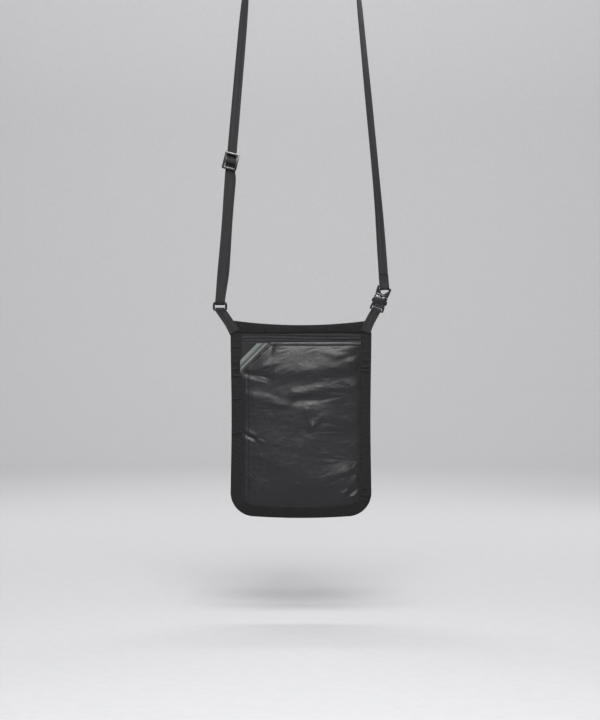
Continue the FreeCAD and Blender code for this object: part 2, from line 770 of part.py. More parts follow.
def plug_fold():
    """The webbing's end, folded round the plug's bar and sewn to itself."""
    body = new_body(
        "plug_fold",
        "buckle_x + plug_pitch * sin(buckle_tilt)",
        "0",
        "bar_z + plug_pitch * cos(buckle_tilt)",
        "fold_tilt",
    )
    profile = new_sketch(body, "fold_profile", "YZ_Plane", "-web_width / 2")
    corners = [
        (f"-{LOOP_OUT}", "0"),
        (LOOP_OUT, "0"),
        ("web_thick", "fold_length"),
        ("-web_thick", "fold_length"),
    ]
    add_polygon(profile, corners, {0: LOOP_OUT})
    add_circle(profile, "0", "0", LOOP_IN)
    pad(body, profile, "web_width")
    return body


# ---------------------------------------------------------------- the whole object


def build():
    """Make every sub-part; the list is in the order from the pouch up to the neck."""
    ring_bar = "bar_z + ring_pitch"
    middle_y = "(bar_radius + bar_gap + web_thick / 2)"
    slide = "4.6"
    low_x = f"adjuster_x - {slide} * sin(5)"
    low_z = f"adjuster_z - {slide} * cos(5)"
    return [
        inner_panel(),
        front_panel(),
        back_panel("back_panel_lower", keep_low=True),
        back_panel("back_panel_upper", keep_low=False),
        pocket_hem(),
        corner_label(),
        perimeter_binding(),
        top_binding(),
        zip_tape("zip_tape_upper", 1),
        zip_tape("zip_tape_lower", -1),
        zip_coil("zip_coil_upper", 1),
        zip_coil("zip_coil_lower", -1),
        zip_slider(),
        zip_pull(),
        zip_stops(),
        strap_tab("strap_tab_left", ("ring_x", "0", "bar_z"), "tab_slant", "tab_reach"),
        strap_tab("strap_tab_right", BUCKLE_PLACE, "buckle_tab_slant", "buckle_tab_reach"),
        ring(),
        ring_turn(),
        loop_layer("loop_front", ("ring_x", f"-{middle_y}", ring_bar), (low_x, "0", low_z)),
        loop_layer("loop_back", ("ring_x", middle_y, ring_bar), (low_x, "1.6 * web_thick", low_z)),
        adjuster(),
        strap_hump(),
        neck_strap(),
        buckle_socket(),
        buckle_plug(),
        release_arm("release_arm_left", -1),
        release_arm("release_arm_right", 1),
        plug_fold(),
    ]


def check(parts):
    """Stop before anything is written if an object failed or a shape isn't sound."""
    for item in doc.Objects:
        if "Invalid" in item.State or "Error" in item.State:
            raise RuntimeError(f"{item.Name} failed: {item.State}")
    for part in parts:
        if part.Shape.isNull() or not part.Shape.isValid() or part.Shape.Volume <= 0:
            raise RuntimeError(f"{part.Label} has no sound shape")


sub_parts = build()
doc.recompute()
check(sub_parts)
os.makedirs("parts", exist_ok=True)
for sub_part in sub_parts:
    sub_part.Shape.exportStep(f"parts/{sub_part.Label}.step")
print(len(sub_parts), "sub-parts written")
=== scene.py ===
"""Looks of a neck pouch wallet: fabric, ribbed binding, webbing, moulded buckle parts and a zip.

Everything is in metres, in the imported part's frame: the front faces -Y, +Z is up, and the origin is where
the webbing loop rests on the neck.
"""
import math

import bmesh
import bpy
import numpy as np
from mathutils import Matrix, Vector, noise


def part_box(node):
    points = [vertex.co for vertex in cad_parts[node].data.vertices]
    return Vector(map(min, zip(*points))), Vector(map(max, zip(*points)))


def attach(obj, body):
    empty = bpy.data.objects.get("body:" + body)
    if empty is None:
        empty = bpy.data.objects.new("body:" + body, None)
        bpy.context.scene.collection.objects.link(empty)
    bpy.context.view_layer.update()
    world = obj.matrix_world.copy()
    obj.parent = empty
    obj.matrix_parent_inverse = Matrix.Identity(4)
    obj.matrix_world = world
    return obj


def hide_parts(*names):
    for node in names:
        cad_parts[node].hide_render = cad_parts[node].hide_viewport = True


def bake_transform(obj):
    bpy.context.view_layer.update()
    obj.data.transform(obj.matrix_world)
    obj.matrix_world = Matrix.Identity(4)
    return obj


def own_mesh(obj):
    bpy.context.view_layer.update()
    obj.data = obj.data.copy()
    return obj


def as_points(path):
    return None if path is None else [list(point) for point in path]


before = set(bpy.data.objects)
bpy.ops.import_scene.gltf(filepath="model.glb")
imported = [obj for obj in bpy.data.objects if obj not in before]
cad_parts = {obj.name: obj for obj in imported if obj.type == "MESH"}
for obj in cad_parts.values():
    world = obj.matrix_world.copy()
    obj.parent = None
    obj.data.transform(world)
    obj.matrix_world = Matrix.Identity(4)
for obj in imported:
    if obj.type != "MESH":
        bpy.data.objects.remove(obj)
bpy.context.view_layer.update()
MM = 0.001
RIGHT = Vector((1, 0, 0))
FRONT = Vector((0, -1, 0))
BACK = Vector((0, 1, 0))
UP = Vector((0, 0, 1))

# ---------------------------------------------------------------- places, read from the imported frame

RIM_LOW, RIM_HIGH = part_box("perimeter_binding")
HALF_WIDTH = RIM_HIGH.x
POUCH_BOTTOM = RIM_LOW.z
POUCH_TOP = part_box("top_binding")[1].z
MOUTH_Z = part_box("front_panel")[1].z
TAPE_WIDTH = 10.7 * MM
STITCH_DEPTH = 1.62 * MM
SIDE_SEAM_X = -53.4 * MM
CORNER_RADIUS = 24 * MM
CORNER_SHRINK = 0.84
INNER_RADIUS = CORNER_RADIUS - CORNER_SHRINK * TAPE_WIDTH
TOP_SAG = 4 * MM
WAIST = 1.1 * MM
BELLY = 1.6 * MM
SIDE_STEPS = 240
TURN_STEPS = 48
FLOOR_STEPS = 68
CUT = 31 * MM
CUT_X = -HALF_WIDTH + TAPE_WIDTH + CUT
LABEL_WIDTH = 11.6 * MM
WEB_WIDTH = 9.6 * MM
WEB_THICK = 1.1 * MM
BUCKLE_TILT = math.radians(20)
BUCKLE_ORIGIN = Vector((75.4, 0, -371)) * MM
PLUG_PITCH = 23.6 * MM
FLOOR_GAP = 97 * MM


# Pitch, length and thickness of the fine stitching on the pouch's cloth.
FINE_STITCH = (2.2 * MM, 1.4 * MM, 0.26 * MM)


# ---------------------------------------------------------------- mesh helpers


def make_object(name, vertices, faces, material, smooth=True, uvs=None):
    """A mesh object; uvs is one (u, v) pair per vertex."""
    mesh = bpy.data.meshes.new(name)
    mesh.from_pydata([tuple(v) for v in vertices], [], [tuple(f) for f in faces])
    mesh.validate()
    for polygon in mesh.polygons:
        polygon.use_smooth = smooth
    if uvs is not None:
        layer = mesh.uv_layers.new(name="UVMap")
        table = np.array(uvs, float)[[loop.vertex_index for loop in mesh.loops]]
        layer.data.foreach_set("uv", table.ravel())
    mesh.materials.append(material)
    item = bpy.data.objects.new(name, mesh)
    bpy.context.scene.collection.objects.link(item)
    return item


def apply_modifiers(item):
    """Bake an object's modifiers into its mesh."""
    graph = bpy.context.evaluated_depsgraph_get()
    graph.update()
    finished = item.evaluated_get(graph)
    mesh = bpy.data.meshes.new_from_object(finished, preserve_all_data_layers=True, depsgraph=graph)
    item.modifiers.clear()
    item.data = mesh
    return item


def join(name, items):
    """One object out of several."""
    mesh = bpy.data.meshes.new(name)
    shape = bmesh.new()
    for item in items:
        shape.from_mesh(item.data)
    shape.to_mesh(mesh)
    shape.free()
    for material in items[0].data.materials:
        mesh.materials.append(material)
    joined = bpy.data.objects.new(name, mesh)
    bpy.context.scene.collection.objects.link(joined)
    for item in items:
        bpy.data.objects.remove(item)
    return joined


def tube_faces(first, rings, around, closed=False):
    """The faces of a tube of vertex rings that starts at vertex first; an open tube has end caps."""
    faces = []
    for ring in range(rings if closed else rings - 1):
        here, there = first + ring * around, first + (ring + 1) % rings * around
        for index in range(around):
            after = (index + 1) % around
            faces.append((here + index, here + after, there + after, there + index))
    if not closed:
        faces.append(tuple(first + index for index in reversed(range(around))))
        faces.append(tuple(first + (rings - 1) * around + index for index in range(around)))
    return faces


def run_lengths(points):
    """How far along a line each of its points is."""
    lengths = [0.0]
    for near, far in zip(points, points[1:]):
        lengths.append(lengths[-1] + (far - near).length)
    return lengths


def along_line(points):
    """Each point of a line with the direction in which the line runs there."""
    pairs = []
    for number, point in enumerate(points):
        before, after = points[max(number - 1, 0)], points[min(number + 1, len(points) - 1)]
        pairs.append((point, (after - before).normalized()))
    return pairs


def line_frames(points, out=FRONT):
    """Sweep frames (centre, across, out) along points, facing out as nearly as the line allows."""
    frames = []
    for point, along in along_line(points):
        across = out.cross(along).normalized()
        frames.append((point, across, along.cross(across).normalized()))
    return frames


def placed_frames(points, to_world):
    """Sweep frames along a line given in a piece's own axes, with the strip's width along its X."""
    turn = to_world.to_3x3()
    frames = []
    for point, along in along_line(points):
        frames.append((to_world @ point, turn @ RIGHT, turn @ along.cross(RIGHT).normalized()))
    return frames


def sweep(name, frames, profile, material, closed=False, scales=None):
    """A profile (across, out) in metres carried along frames (centre, across, out); ends are capped."""
    around = [0.0]
    for near, far in zip(profile, profile[1:] + profile[:1]):
        around.append(around[-1] + math.dist(near, far))
    places = run_lengths([centre for centre, _, _ in frames])
    sizes = scales or [(1, 1)] * len(frames)
    vertices, uvs = [], []
    for (centre, across, out), along, (wide, deep) in zip(frames, places, sizes):
        for reach, (u, v) in zip(around, profile):
            vertices.append(centre + across * u * wide + out * v * deep)
            uvs.append((reach, along))
    faces = tube_faces(0, len(frames), len(profile), closed)
    item = make_object(name, vertices, faces, material, uvs=uvs)
    fix_normals(item)
    return item


def fix_normals(item):
    """Turn every face outwards."""
    shape = bmesh.new()
    shape.from_mesh(item.data)
    bmesh.ops.recalc_face_normals(shape, faces=shape.faces)
    shape.to_mesh(item.data)
    shape.free()


def oval(half_wide, half_deep, power=2.0, steps=20):
    """A superellipse profile; a higher power is squarer."""
    points = []
    for step in range(steps):
        angle = 2 * math.pi * (step + 0.5) / steps
        c, s = math.cos(angle), math.sin(angle)
        across = math.copysign(abs(c) ** (2 / power), c) * half_wide
        out = math.copysign(abs(s) ** (2 / power), s) * half_deep
        points.append((across, out))
    return points


def flat_strip(width, thick, steps=12):
    """A strip's profile: flat faces with evenly spaced points and round selvedges."""
    half = width / 2 - thick / 2
    row = [half * (2 * step / (steps - 1) - 1) for step in range(steps)]
    right = [(half + thick / 2 * math.cos(a), thick / 2 * math.sin(a)) for a in (-0.8, 0.0, 0.8)]
    left = [(-half - thick / 2 * math.cos(a), thick / 2 * math.sin(a)) for a in (0.8, 0.0, -0.8)]
    return [(u, -thick / 2) for u in row] + right + [(u, thick / 2) for u in reversed(row)] + left


def grid_object(name, columns, rows, point, material, thickness=0.0, keep=None):
    """A sheet from point(u, v) over two lists of parameters, thickened towards its back."""
    vertices = [point(u, v) for v in rows for u in columns]
    uvs = [(u, v) for v in rows for u in columns]
    wide = len(columns)
    faces = []
    for row in range(len(rows) - 1):
        for column in range(wide - 1):
            a = row * wide + column
            face = (a, a + 1, a + wide + 1, a + wide)
            if keep is None or keep(sum((Vector(vertices[i]) for i in face), Vector()) / 4):
                faces.append(face)
    item = make_object(name, vertices, faces, material, uvs=uvs)
    shape = bmesh.new()
    shape.from_mesh(item.data)
    loose = [vertex for vertex in shape.verts if not vertex.link_faces]
    bmesh.ops.delete(shape, geom=loose, context="VERTS")
    shape.to_mesh(item.data)
    shape.free()
    if thickness:
        thicken(item, thickness)
    return item


def thicken(item, thickness):
    """Give a sheet its thickness, towards its back."""
    solid = item.modifiers.new("thickness", "SOLIDIFY")
    solid.thickness = thickness
    solid.offset = -1
    apply_modifiers(item)


def spaced(low, high, step):
    """Evenly spaced numbers from low to high, about a step apart."""
    count = max(2, int(round((high - low) / step)) + 1)
    return [low + (high - low) * number / (count - 1) for number in range(count)]


def smooth_step(edge, value):
    """0 at 0, 1 from edge on, with an S-shaped climb."""
    ratio = min(max(value / edge, 0.0), 1.0)
    return ratio * ratio * (3 - 2 * ratio)


def stitch_row(name, points, out, pitch=2.6 * MM, length=1.7 * MM, thick=0.32 * MM):
    """A row of short thread stitches laid along a line of points, standing on a surface facing out."""
    vertices, faces = [], []
    section, rings, lift = 6, 5, 0.05 * MM
    spent, due = 0.0, pitch / 2
    for start, end in zip(points, points[1:]):
        run = end - start
        while run.length > 1e-9 and spent + run.length >= due:
            centre = start + run * ((due - spent) / run.length) + out * lift
            along = run.normalized()
            side = along.cross(out).normalized()
            faces += tube_faces(len(vertices), rings, section)
            for ring in range(rings):
                place = (ring / (rings - 1) - 0.5) * 2
                bulge = math.sqrt(max(0.06, 1 - place * place))
                for index in range(section):
                    angle = 2 * math.pi * index / section
                    offset = side * math.cos(angle) * thick / 2 * bulge
                    offset += out * (math.sin(angle) * thick / 2 * bulge - thick * 0.25 * abs(place))
                    vertices.append(centre + along * place * length / 2 + offset)
            due += pitch
        spent += run.length
    item = make_object(name, vertices, faces, THREAD)
    fix_normals(item)
    return item


# ---------------------------------------------------------------- materials


class Paint:
    """A Principled material whose nodes are added one at a time."""

    def __init__(self, name, **sockets):
        self.material = bpy.data.materials.new(name)
        self.material.use_nodes = True
        self.tree = self.material.node_tree
        self.tree.nodes.clear()
        self.shader = self.tree.nodes.new("ShaderNodeBsdfPrincipled")
        output = self.tree.nodes.new("ShaderNodeOutputMaterial")
        self.tree.links.new(self.shader.outputs["BSDF"], output.inputs["Surface"])
        for socket, number in sockets.items():
            self.shader.inputs[socket.replace("_", " ")].default_value = number

    def node(self, kind, inputs=None, **settings):
        """A new node; an input is a number, a colour or another node's output."""
        node = self.tree.nodes.new("ShaderNode" + kind)
        for setting, choice in settings.items():
            setattr(node, setting, choice)
        for socket, given in (inputs or {}).items():
            if isinstance(given, bpy.types.NodeSocket):
                self.tree.links.new(given, node.inputs[socket])
            else:
                node.inputs[socket].default_value = given
        return node

    def set(self, socket, source):
        self.tree.links.new(source, self.shader.inputs[socket])

    def math(self, operation, first, second=0.0):
        return self.node("Math", {0: first, 1: second}, operation=operation).outputs[0]

    def scaled(self, source, factor, offset):
        """A source times a factor, plus an offset or another source."""
        return self.math("ADD", self.math("MULTIPLY", source, factor), offset)

    def edges(self, strength):
        """Paler where a piece's edges stick out, darker in its hollows, about 0."""
        pointed = self.node("NewGeometry").outputs["Pointiness"]
        return self.math("MULTIPLY", self.math("SUBTRACT", pointed, 0.5), strength)

    def coordinates(self, kind="Object", scale=(1, 1, 1), turn=(0, 0, 0)):
        source = self.node("TexCoord").outputs[kind]
        return self.node("Mapping", {"Vector": source, "Scale": scale, "Rotation": turn}).outputs[0]

    def split(self, vector):
        return self.node("SeparateXYZ", {0: vector}).outputs

    def noise(self, vector, size, detail=2.0, roughness=0.5):
        """Noise whose blobs are about size metres wide."""
        inputs = {"Vector": vector, "Scale": 1 / size, "Detail": detail, "Roughness": roughness}
        return self.node("TexNoise", inputs).outputs["Fac"]

    def wave(self, length, period, shift=0.0):
        """A 0 to 1 sine of a length, with the period in metres."""
        turns = self.math("ADD", self.math("MULTIPLY", length, 2 * math.pi / period), shift)
        return self.math("ADD", self.math("MULTIPLY", self.math("SINE", turns), 0.5), 0.5)

    def ramp(self, factor, *stops):
        """A colour ramp from (position, colour) stops."""
        node = self.node("ValToRGB", {"Fac": factor})
        elements = node.color_ramp.elements
        while len(elements) < len(stops):
            elements.new(0.5)
        for element, (position, colour) in zip(elements, stops):
            element.position = position
            element.color = (*colour, 1)
        return node.outputs["Color"]

    def bump(self, height, depth, under=None, strength=1.0):
        """A bump of a depth in metres over an earlier one."""
        inputs = {"Height": height, "Distance": depth, "Strength": strength}
        if under is not None:
            inputs["Normal"] = under
        return self.node("Bump", inputs).outputs["Normal"]


def shade(colour, factor):
    """A colour made lighter or darker."""
    return tuple(channel * factor for channel in colour)


def coated_fabric(name, colour, roughness=0.4, ripple=0.11 * MM):
    """Tightly woven nylon with a thin satin coating, and the fine slanting ripples it falls into."""
    paint = Paint(name, Sheen_Weight=0.015, Sheen_Roughness=0.4, Specular_IOR_Level=0.45)
    place = paint.coordinates()
    x, _, z = paint.split(place)
    broad = paint.noise(place, 30 * MM, 3)
    fine = paint.noise(place, 1.6 * MM, 4, 0.65)
    warp = paint.wave(x, 0.55 * MM)
    weft = paint.wave(z, 0.55 * MM, 1.3)
    weave = paint.math("MAXIMUM", warp, weft)
    streaks = paint.coordinates(scale=(1.0, 1.0, 0.16), turn=(0, math.radians(-38), 0))
    rib = paint.noise(streaks, 1.5 * MM, 2, 0.5)
    patch = paint.noise(place, 26 * MM, 1)
    rib = paint.math("MULTIPLY", rib, paint.math("MULTIPLY", patch, patch))
    low = paint.bump(rib, ripple * 3)
    low = paint.bump(paint.noise(place, 6 * MM, 3, 0.6), 0.15 * MM, low)
    paint.set("Normal", paint.bump(weave, 0.05 * MM, low, 0.7))
    paint.set("Base Color", paint.ramp(broad, (0.3, shade(colour, 0.78)), (0.7, shade(colour, 1.2))))
    paint.set("Roughness", paint.scaled(fine, 0.16, roughness - 0.04))
    return paint.material


def plain_fabric(name, colour, period=0.6 * MM, roughness=0.72):
    """Plain woven lining cloth."""
    paint = Paint(name, Sheen_Weight=0.07, Sheen_Roughness=0.5, Specular_IOR_Level=0.3)
    place = paint.coordinates()
    x, _, z = paint.split(place)
    warp = paint.wave(x, period)
    weft = paint.wave(z, period, 1.5)
    weave = paint.math("MULTIPLY", warp, weft)
    mottle = paint.noise(place, 4 * MM, 4, 0.7)
    paint.set("Normal", paint.bump(weave, 0.12 * MM, paint.bump(mottle, 0.25 * MM)))
    paint.set("Base Color", paint.ramp(mottle, (0.3, shade(colour, 0.7)), (0.7, shade(colour, 1.5))))
    paint.set("Roughness", paint.scaled(mottle, 0.15, roughness - 0.08))
    return paint.material


def ribbed_tape(name, colour, period=1.25 * MM):
    """Grosgrain: round ribs across the tape, with fine threads along them; v runs along the tape."""
    paint = Paint(name, Sheen_Weight=0.06, Sheen_Roughness=0.45, Specular_IOR_Level=0.22)
    u, v, _ = paint.split(paint.coordinates("UV"))
    place = paint.coordinates()
    uneven = paint.noise(place, 5 * MM, 3, 0.6)
    shift = paint.math("MULTIPLY", uneven, 1.2)
    rib = paint.wave(v, period, shift)
    thread = paint.wave(u, 0.45 * MM, shift)
    height = paint.math("ADD", rib, paint.math("MULTIPLY", thread, 0.2))
    paint.set("Normal", paint.bump(height, 0.3 * MM, paint.bump(uneven, 0.25 * MM)))
    tone = paint.math("ADD", paint.math("MULTIPLY", rib, 0.55), paint.math("MULTIPLY", uneven, 0.45))
    paint.set("Base Color", paint.ramp(tone, (0.15, shade(colour, 0.45)), (0.85, shade(colour, 1.5))))
    paint.set("Roughness", paint.scaled(uneven, 0.2, 0.52))
    return paint.material


def woven_webbing(name, colour):
    """Flat webbing in a zigzag twill; u runs across, v along."""
    paint = Paint(name, Sheen_Weight=0.07, Sheen_Roughness=0.4, Specular_IOR_Level=0.25)
    u, v, _ = paint.split(paint.coordinates("UV"))
    place = paint.coordinates()
    fuzz = paint.noise(place, 0.9 * MM, 3, 0.7)
    zigzag = paint.math("PINGPONG", u, 2.4 * MM)
    slant = paint.scaled(zigzag, 0.9, v)
    twill = paint.wave(slant, 0.95 * MM)
    column = paint.wave(u, 0.6 * MM)
    height = paint.math("ADD", twill, paint.math("MULTIPLY", column, 0.35))
    paint.set("Normal", paint.bump(height, 0.17 * MM, paint.bump(fuzz, 0.08 * MM)))
    tone = paint.math("ADD", paint.math("MULTIPLY", twill, 0.6), paint.math("MULTIPLY", fuzz, 0.4))
    paint.set("Base Color", paint.ramp(tone, (0.2, shade(colour, 0.4)), (0.85, shade(colour, 1.7))))
    paint.set("Roughness", paint.scaled(fuzz, 0.25, 0.45))
    return paint.material


def moulded_plastic(name, colour, roughness=0.24):
    """Glossy acetal with a faint mould grain and rubbed, paler edges."""
    paint = Paint(name, Specular_IOR_Level=0.55, Coat_Weight=0.15, Coat_Roughness=0.2)
    place = paint.coordinates()
    grain = paint.noise(place, 0.35 * MM, 3, 0.6)
    scuff = paint.noise(place, 3 * MM, 5, 0.75)
    tone = paint.math("ADD", paint.edges(6.0), paint.math("MULTIPLY", scuff, 0.5))
    paint.set("Base Color", paint.ramp(tone, (0.2, shade(colour, 0.8)), (0.9, shade(colour, 2.4))))
    paint.set("Roughness", paint.scaled(scuff, 0.25, roughness - 0.1))
    paint.set("Normal", paint.bump(grain, 0.03 * MM))
    return paint.material


def thread_cotton(name, colour):
    """Twisted sewing thread."""
    paint = Paint(name, Sheen_Weight=0.08, Sheen_Roughness=0.4, Specular_IOR_Level=0.25)
    x, y, z = paint.split(paint.coordinates())
    twist = paint.wave(paint.math("ADD", paint.math("ADD", x, z), y), 0.3 * MM)
    paint.set("Base Color", paint.ramp(twist, (0.2, shade(colour, 0.6)), (0.8, shade(colour, 1.4))))
    paint.set("Roughness", paint.scaled(twist, 0.15, 0.5))
    paint.set("Normal", paint.bump(twist, 0.06 * MM))
    return paint.material


def woven_label(name):
    """A blank damask label: pale grey with a soft green cast, darker stripes and fine weft lines."""
    paint = Paint(name, Sheen_Weight=0.2, Sheen_Roughness=0.4)
    place = paint.coordinates()
    x, _, z = paint.split(place)
    across = paint.math("ADD", paint.math("SUBTRACT", z, x), CUT_X - MOUTH_Z)
    across = paint.math("MULTIPLY", across, 1 / (math.sqrt(2) * LABEL_WIDTH))
    along = paint.math("ADD", x, z)
    weft = paint.wave(along, 0.32 * MM * math.sqrt(2))
    warp = paint.wave(across, 0.4 * MM / LABEL_WIDTH)
    fuzz = paint.math("ADD", across, paint.math("MULTIPLY", paint.noise(place, 1.2 * MM, 3), 0.03))
    pale, grey, dark = (0.115, 0.132, 0.120), (0.040, 0.046, 0.043), (0.014, 0.015, 0.015)
    stripes = [(0.0, dark), (0.20, dark), (0.22, pale), (0.34, pale)]
    stripes += [(0.36, grey), (0.55, grey), (0.57, pale), (1.0, pale)]
    paint.set("Base Color", paint.ramp(fuzz, *stripes))
    height = paint.math("ADD", weft, paint.math("MULTIPLY", warp, 0.4))
    paint.set("Normal", paint.bump(height, 0.08 * MM))
    paint.set("Roughness", paint.scaled(weft, 0.1, 0.5))
    return paint.material


def enamelled_metal(name, colour):
    """Die-cast zinc with black enamel, rubbed on its edges."""
    paint = Paint(name, Metallic=0.35, Specular_IOR_Level=0.6, Coat_Weight=0.3, Coat_Roughness=0.15)
    place = paint.coordinates()
    scuff = paint.noise(place, 1.5 * MM, 5, 0.7)
    tone = paint.math("ADD", paint.edges(7.0), paint.math("MULTIPLY", scuff, 0.45))
    paint.set("Base Color", paint.ramp(tone, (0.3, colour), (0.9, shade(colour, 5))))
    paint.set("Roughness", paint.scaled(scuff, 0.3, 0.22))
    paint.set("Normal", paint.bump(scuff, 0.03 * MM))
    return paint.material


FABRIC = coated_fabric("coated_nylon", (0.0060, 0.0058, 0.0074))
# The hem is the pocket's own coated nylon painted six times lighter: a painted highlight where the rolled
# edge faces the light from above.
HEM_PAINTED_HIGHLIGHT_FABRIC = coated_fabric("hem_nylon_painted_highlight", (0.036, 0.036, 0.039), 0.32)
LINING = plain_fabric("lining_cloth", (0.010, 0.010, 0.0115))
BINDING = ribbed_tape("grosgrain_tape", (0.0055, 0.0055, 0.006))
WEBBING = woven_webbing("zigzag_webbing", (0.0135, 0.0135, 0.0142))
ZIP_CLOTH = plain_fabric("zip_tape_cloth", (0.008, 0.008, 0.009), 0.9 * MM)
PLASTIC = moulded_plastic("black_acetal", (0.006, 0.006, 0.0068))
COIL = moulded_plastic("nylon_coil", (0.009, 0.009, 0.010), 0.42)
THREAD = thread_cotton("sewing_thread", (0.011, 0.011, 0.012))
LABEL = woven_label("blank_woven_label")
ENAMEL = enamelled_metal("black_enamel", (0.010, 0.010, 0.011))


# ---------------------------------------------------------------- the pouch's shape


def round_corner(side, low, corner):
    """The distance to the side, or to the corner's arc in a round bottom corner."""
    if side < corner and low < corner:
        return corner - math.hypot(corner - side, corner - low)
    return side


def edge_x(z, inset=0.0):
    """Half the pouch's width at a height: drawn in a little at the waist, and by an inset."""
    ratio = min(max((z - POUCH_BOTTOM) / (POUCH_TOP - POUCH_BOTTOM), 0), 1)
    half = HALF_WIDTH - 0.4 * MM - WAIST * math.sin(math.pi * ratio) ** 2
    return half - inset


def top_edge(x):
    """The top edge's height: a shallow dip that rises into the tabs at both corners."""
    ratio = abs(x) / (HALF_WIDTH - TAPE_WIDTH)
    return POUCH_TOP - TOP_SAG + TOP_SAG * ratio ** 2 * 0.9


def rim_line(inset):
    """The outline from the top left corner down, along the bottom and up the right side, drawn in."""
    radius = CORNER_RADIUS - CORNER_SHRINK * inset
    start = POUCH_TOP - TAPE_WIDTH - 0.4 * MM
    low = POUCH_BOTTOM + BELLY + inset
    turn = low + radius
    centre_x = edge_x(turn, inset) - radius
    left = []
    for step in range(SIDE_STEPS):
        z = start + (turn - start) * step / SIDE_STEPS
        left.append(Vector((-edge_x(z, inset), 0, z)))
    for step in range(TURN_STEPS):
        angle = math.pi * (1 + step / TURN_STEPS / 2)
        left.append(Vector((-centre_x + radius * math.cos(angle), 0, turn + radius * math.sin(angle))))
    for step in range(FLOOR_STEPS):
        x = -centre_x * (1 - step / FLOOR_STEPS)
        left.append(Vector((x, 0, low - BELLY * (1 - (x / centre_x) ** 2))))
    right = [Vector((-point.x, 0, point.z)) for point in reversed(left)]
    return left + [Vector((0, 0, low - BELLY))] + right


# Where the side tape puckers: (side, height, reach along the tape), in millimetres.
PUCKERS = [
    (-1, -423, 2.2), (-1, -430, 1.8), (-1, -437, 1.6), (-1, -494, 2.0), (1, -421, 2.4), (1, -428, 1.8),
    (1, -432, 1.5), (1, -549, 2.2), (1, -556, 2.6), (1, -561, 1.8), (-1, -408, 1.5), (-1, -460, 1.4),
]


def pucker(point):
    """How far the binding rises off its line at a point of the rim."""
    lift = 0.0
    for side, height, reach in PUCKERS:
        if side * point.x > 0:
            away = (point.z / MM - height + 0.15 * (abs(point.x) / MM - 65)) / reach
            lift += 0.5 * math.exp(-away * away) * math.cos(away * 2.2)
    wave = noise.noise(Vector((point.x, 0.4, point.z)) / (7 * MM))
    return (lift + 0.28 * wave) * MM


def folded_profile(ratios, turn, swell, inside):
    """A tape folded over an edge, as (share of its width, depth): front, edge, back, then its inner faces."""
    half, wall, back_swell = 1.4 * MM, 0.42 * MM, 0.2 * MM
    raised = [0.15 < ratio < 0.9 for ratio in ratios]
    profile = [(ratio, -half - swell * up) for ratio, up in zip(ratios, raised)]
    for step in range(1, 7):
        angle = math.pi * (1.5 - step / 7)
        profile.append((turn - turn * abs(math.cos(angle)), half * math.sin(angle)))
    profile += [(ratio, half + back_swell * up) for ratio, up in reversed(list(zip(ratios, raised)))]
    profile += [(ratio, half - wall) for ratio in inside]
    profile += [(ratio, -half + wall) for ratio in reversed(inside)]
    return profile


def folded_tape(name, node, outer, inner, places, profile, lift_of):
    """Grosgrain folded over an edge, from its outer line to its inner one, raised by lift_of(point, share).

    places are how far along the tape each pair of points is.
    """
    around = [0.0]
    for near, far in zip(profile, profile[1:]):
        around.append(around[-1] + math.hypot((far[0] - near[0]) * TAPE_WIDTH, far[1] - near[1]))
    vertices, uvs = [], []
    for out, into, along in zip(outer, inner, places):
        for reach, (ratio, depth) in zip(around, profile):
            point = out.lerp(into, ratio)
            face = 1 if depth > 0 else -1
            vertices.append(point + BACK * (depth + face * lift_of(point, ratio)))
            uvs.append((reach, along))
    item = make_object(name, vertices, tube_faces(0, len(outer), len(profile)), BINDING, uvs=uvs)
    fix_normals(item)
    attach(item, "pouch")
    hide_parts(node)


def sew_binding(name, side, points):
    """A row of stitches along a binding's front (side -1) or back (side 1)."""
    row = stitch_row(name, points, BACK * side)
    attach(row, "pouch")


def make_perimeter_binding():
    """The binding down both sides and along the bottom: a front flange, a round edge and a back flange."""
    outer, inner = rim_line(0.0), rim_line(TAPE_WIDTH)
    middles = [(out + into) / 2 for out, into in zip(outer, inner)]

    def lift_of(point, ratio):
        return max(pucker(point) * (0.3 + 1.9 * math.sin(math.pi * ratio) ** 2), -0.15 * MM)

    profile = folded_profile((1.0, 0.93, 0.8, 0.6, 0.4, 0.22, 0.1), 0.1, 0.25 * MM, (1.0, 0.6, 0.16))
    folded_tape("binding_sides", "perimeter_binding", outer, inner, run_lengths(middles), profile, lift_of)


def make_binding_stitches():
    """Two rows of stitches that hold the binding, at the front and the back."""
    line = rim_line(TAPE_WIDTH - 1.5 * MM)
    lifts = [STITCH_DEPTH + max(pucker(point) * 0.5, -0.1 * MM) for point in line]
    for name, side in (("binding_stitches_front", -1), ("binding_stitches_back", 1)):
        sew_binding(name, side, [point + BACK * side * lift for point, lift in zip(line, lifts)])


def make_top_binding():
    """The binding over the dipped top edge, and its two rows of stitches."""
    reach = HALF_WIDTH - 2.2 * MM
    low = POUCH_TOP - TAPE_WIDTH - 1.2 * MM
    columns = spaced(-reach, reach, 0.8 * MM)
    outer = [Vector((x, 0, top_edge(x))) for x in columns]
    inner = [Vector((x, 0, low + 0.3 * MM * math.sin(x / (19 * MM)))) for x in columns]

    def lift_of(point, ratio):
        wave = noise.noise(Vector((point.x / (11 * MM), ratio * 1.5, 3.1))) * 0.35 * MM
        return max(wave, -0.12 * MM)

    profile = folded_profile((1.0, 0.93, 0.75, 0.5, 0.3, 0.14), 0.12, 0.3 * MM, (1.0, 0.5, 0.2))
    folded_tape("binding_top", "top_binding", outer, inner, columns, profile, lift_of)
    for name, side in (("top_stitches_front", -1), ("top_stitches_back", 1)):
        sew_binding(name, side, [Vector((x, side * STITCH_DEPTH, low + 1.5 * MM)) for x in columns])


# ---------------------------------------------------------------- the front pocket

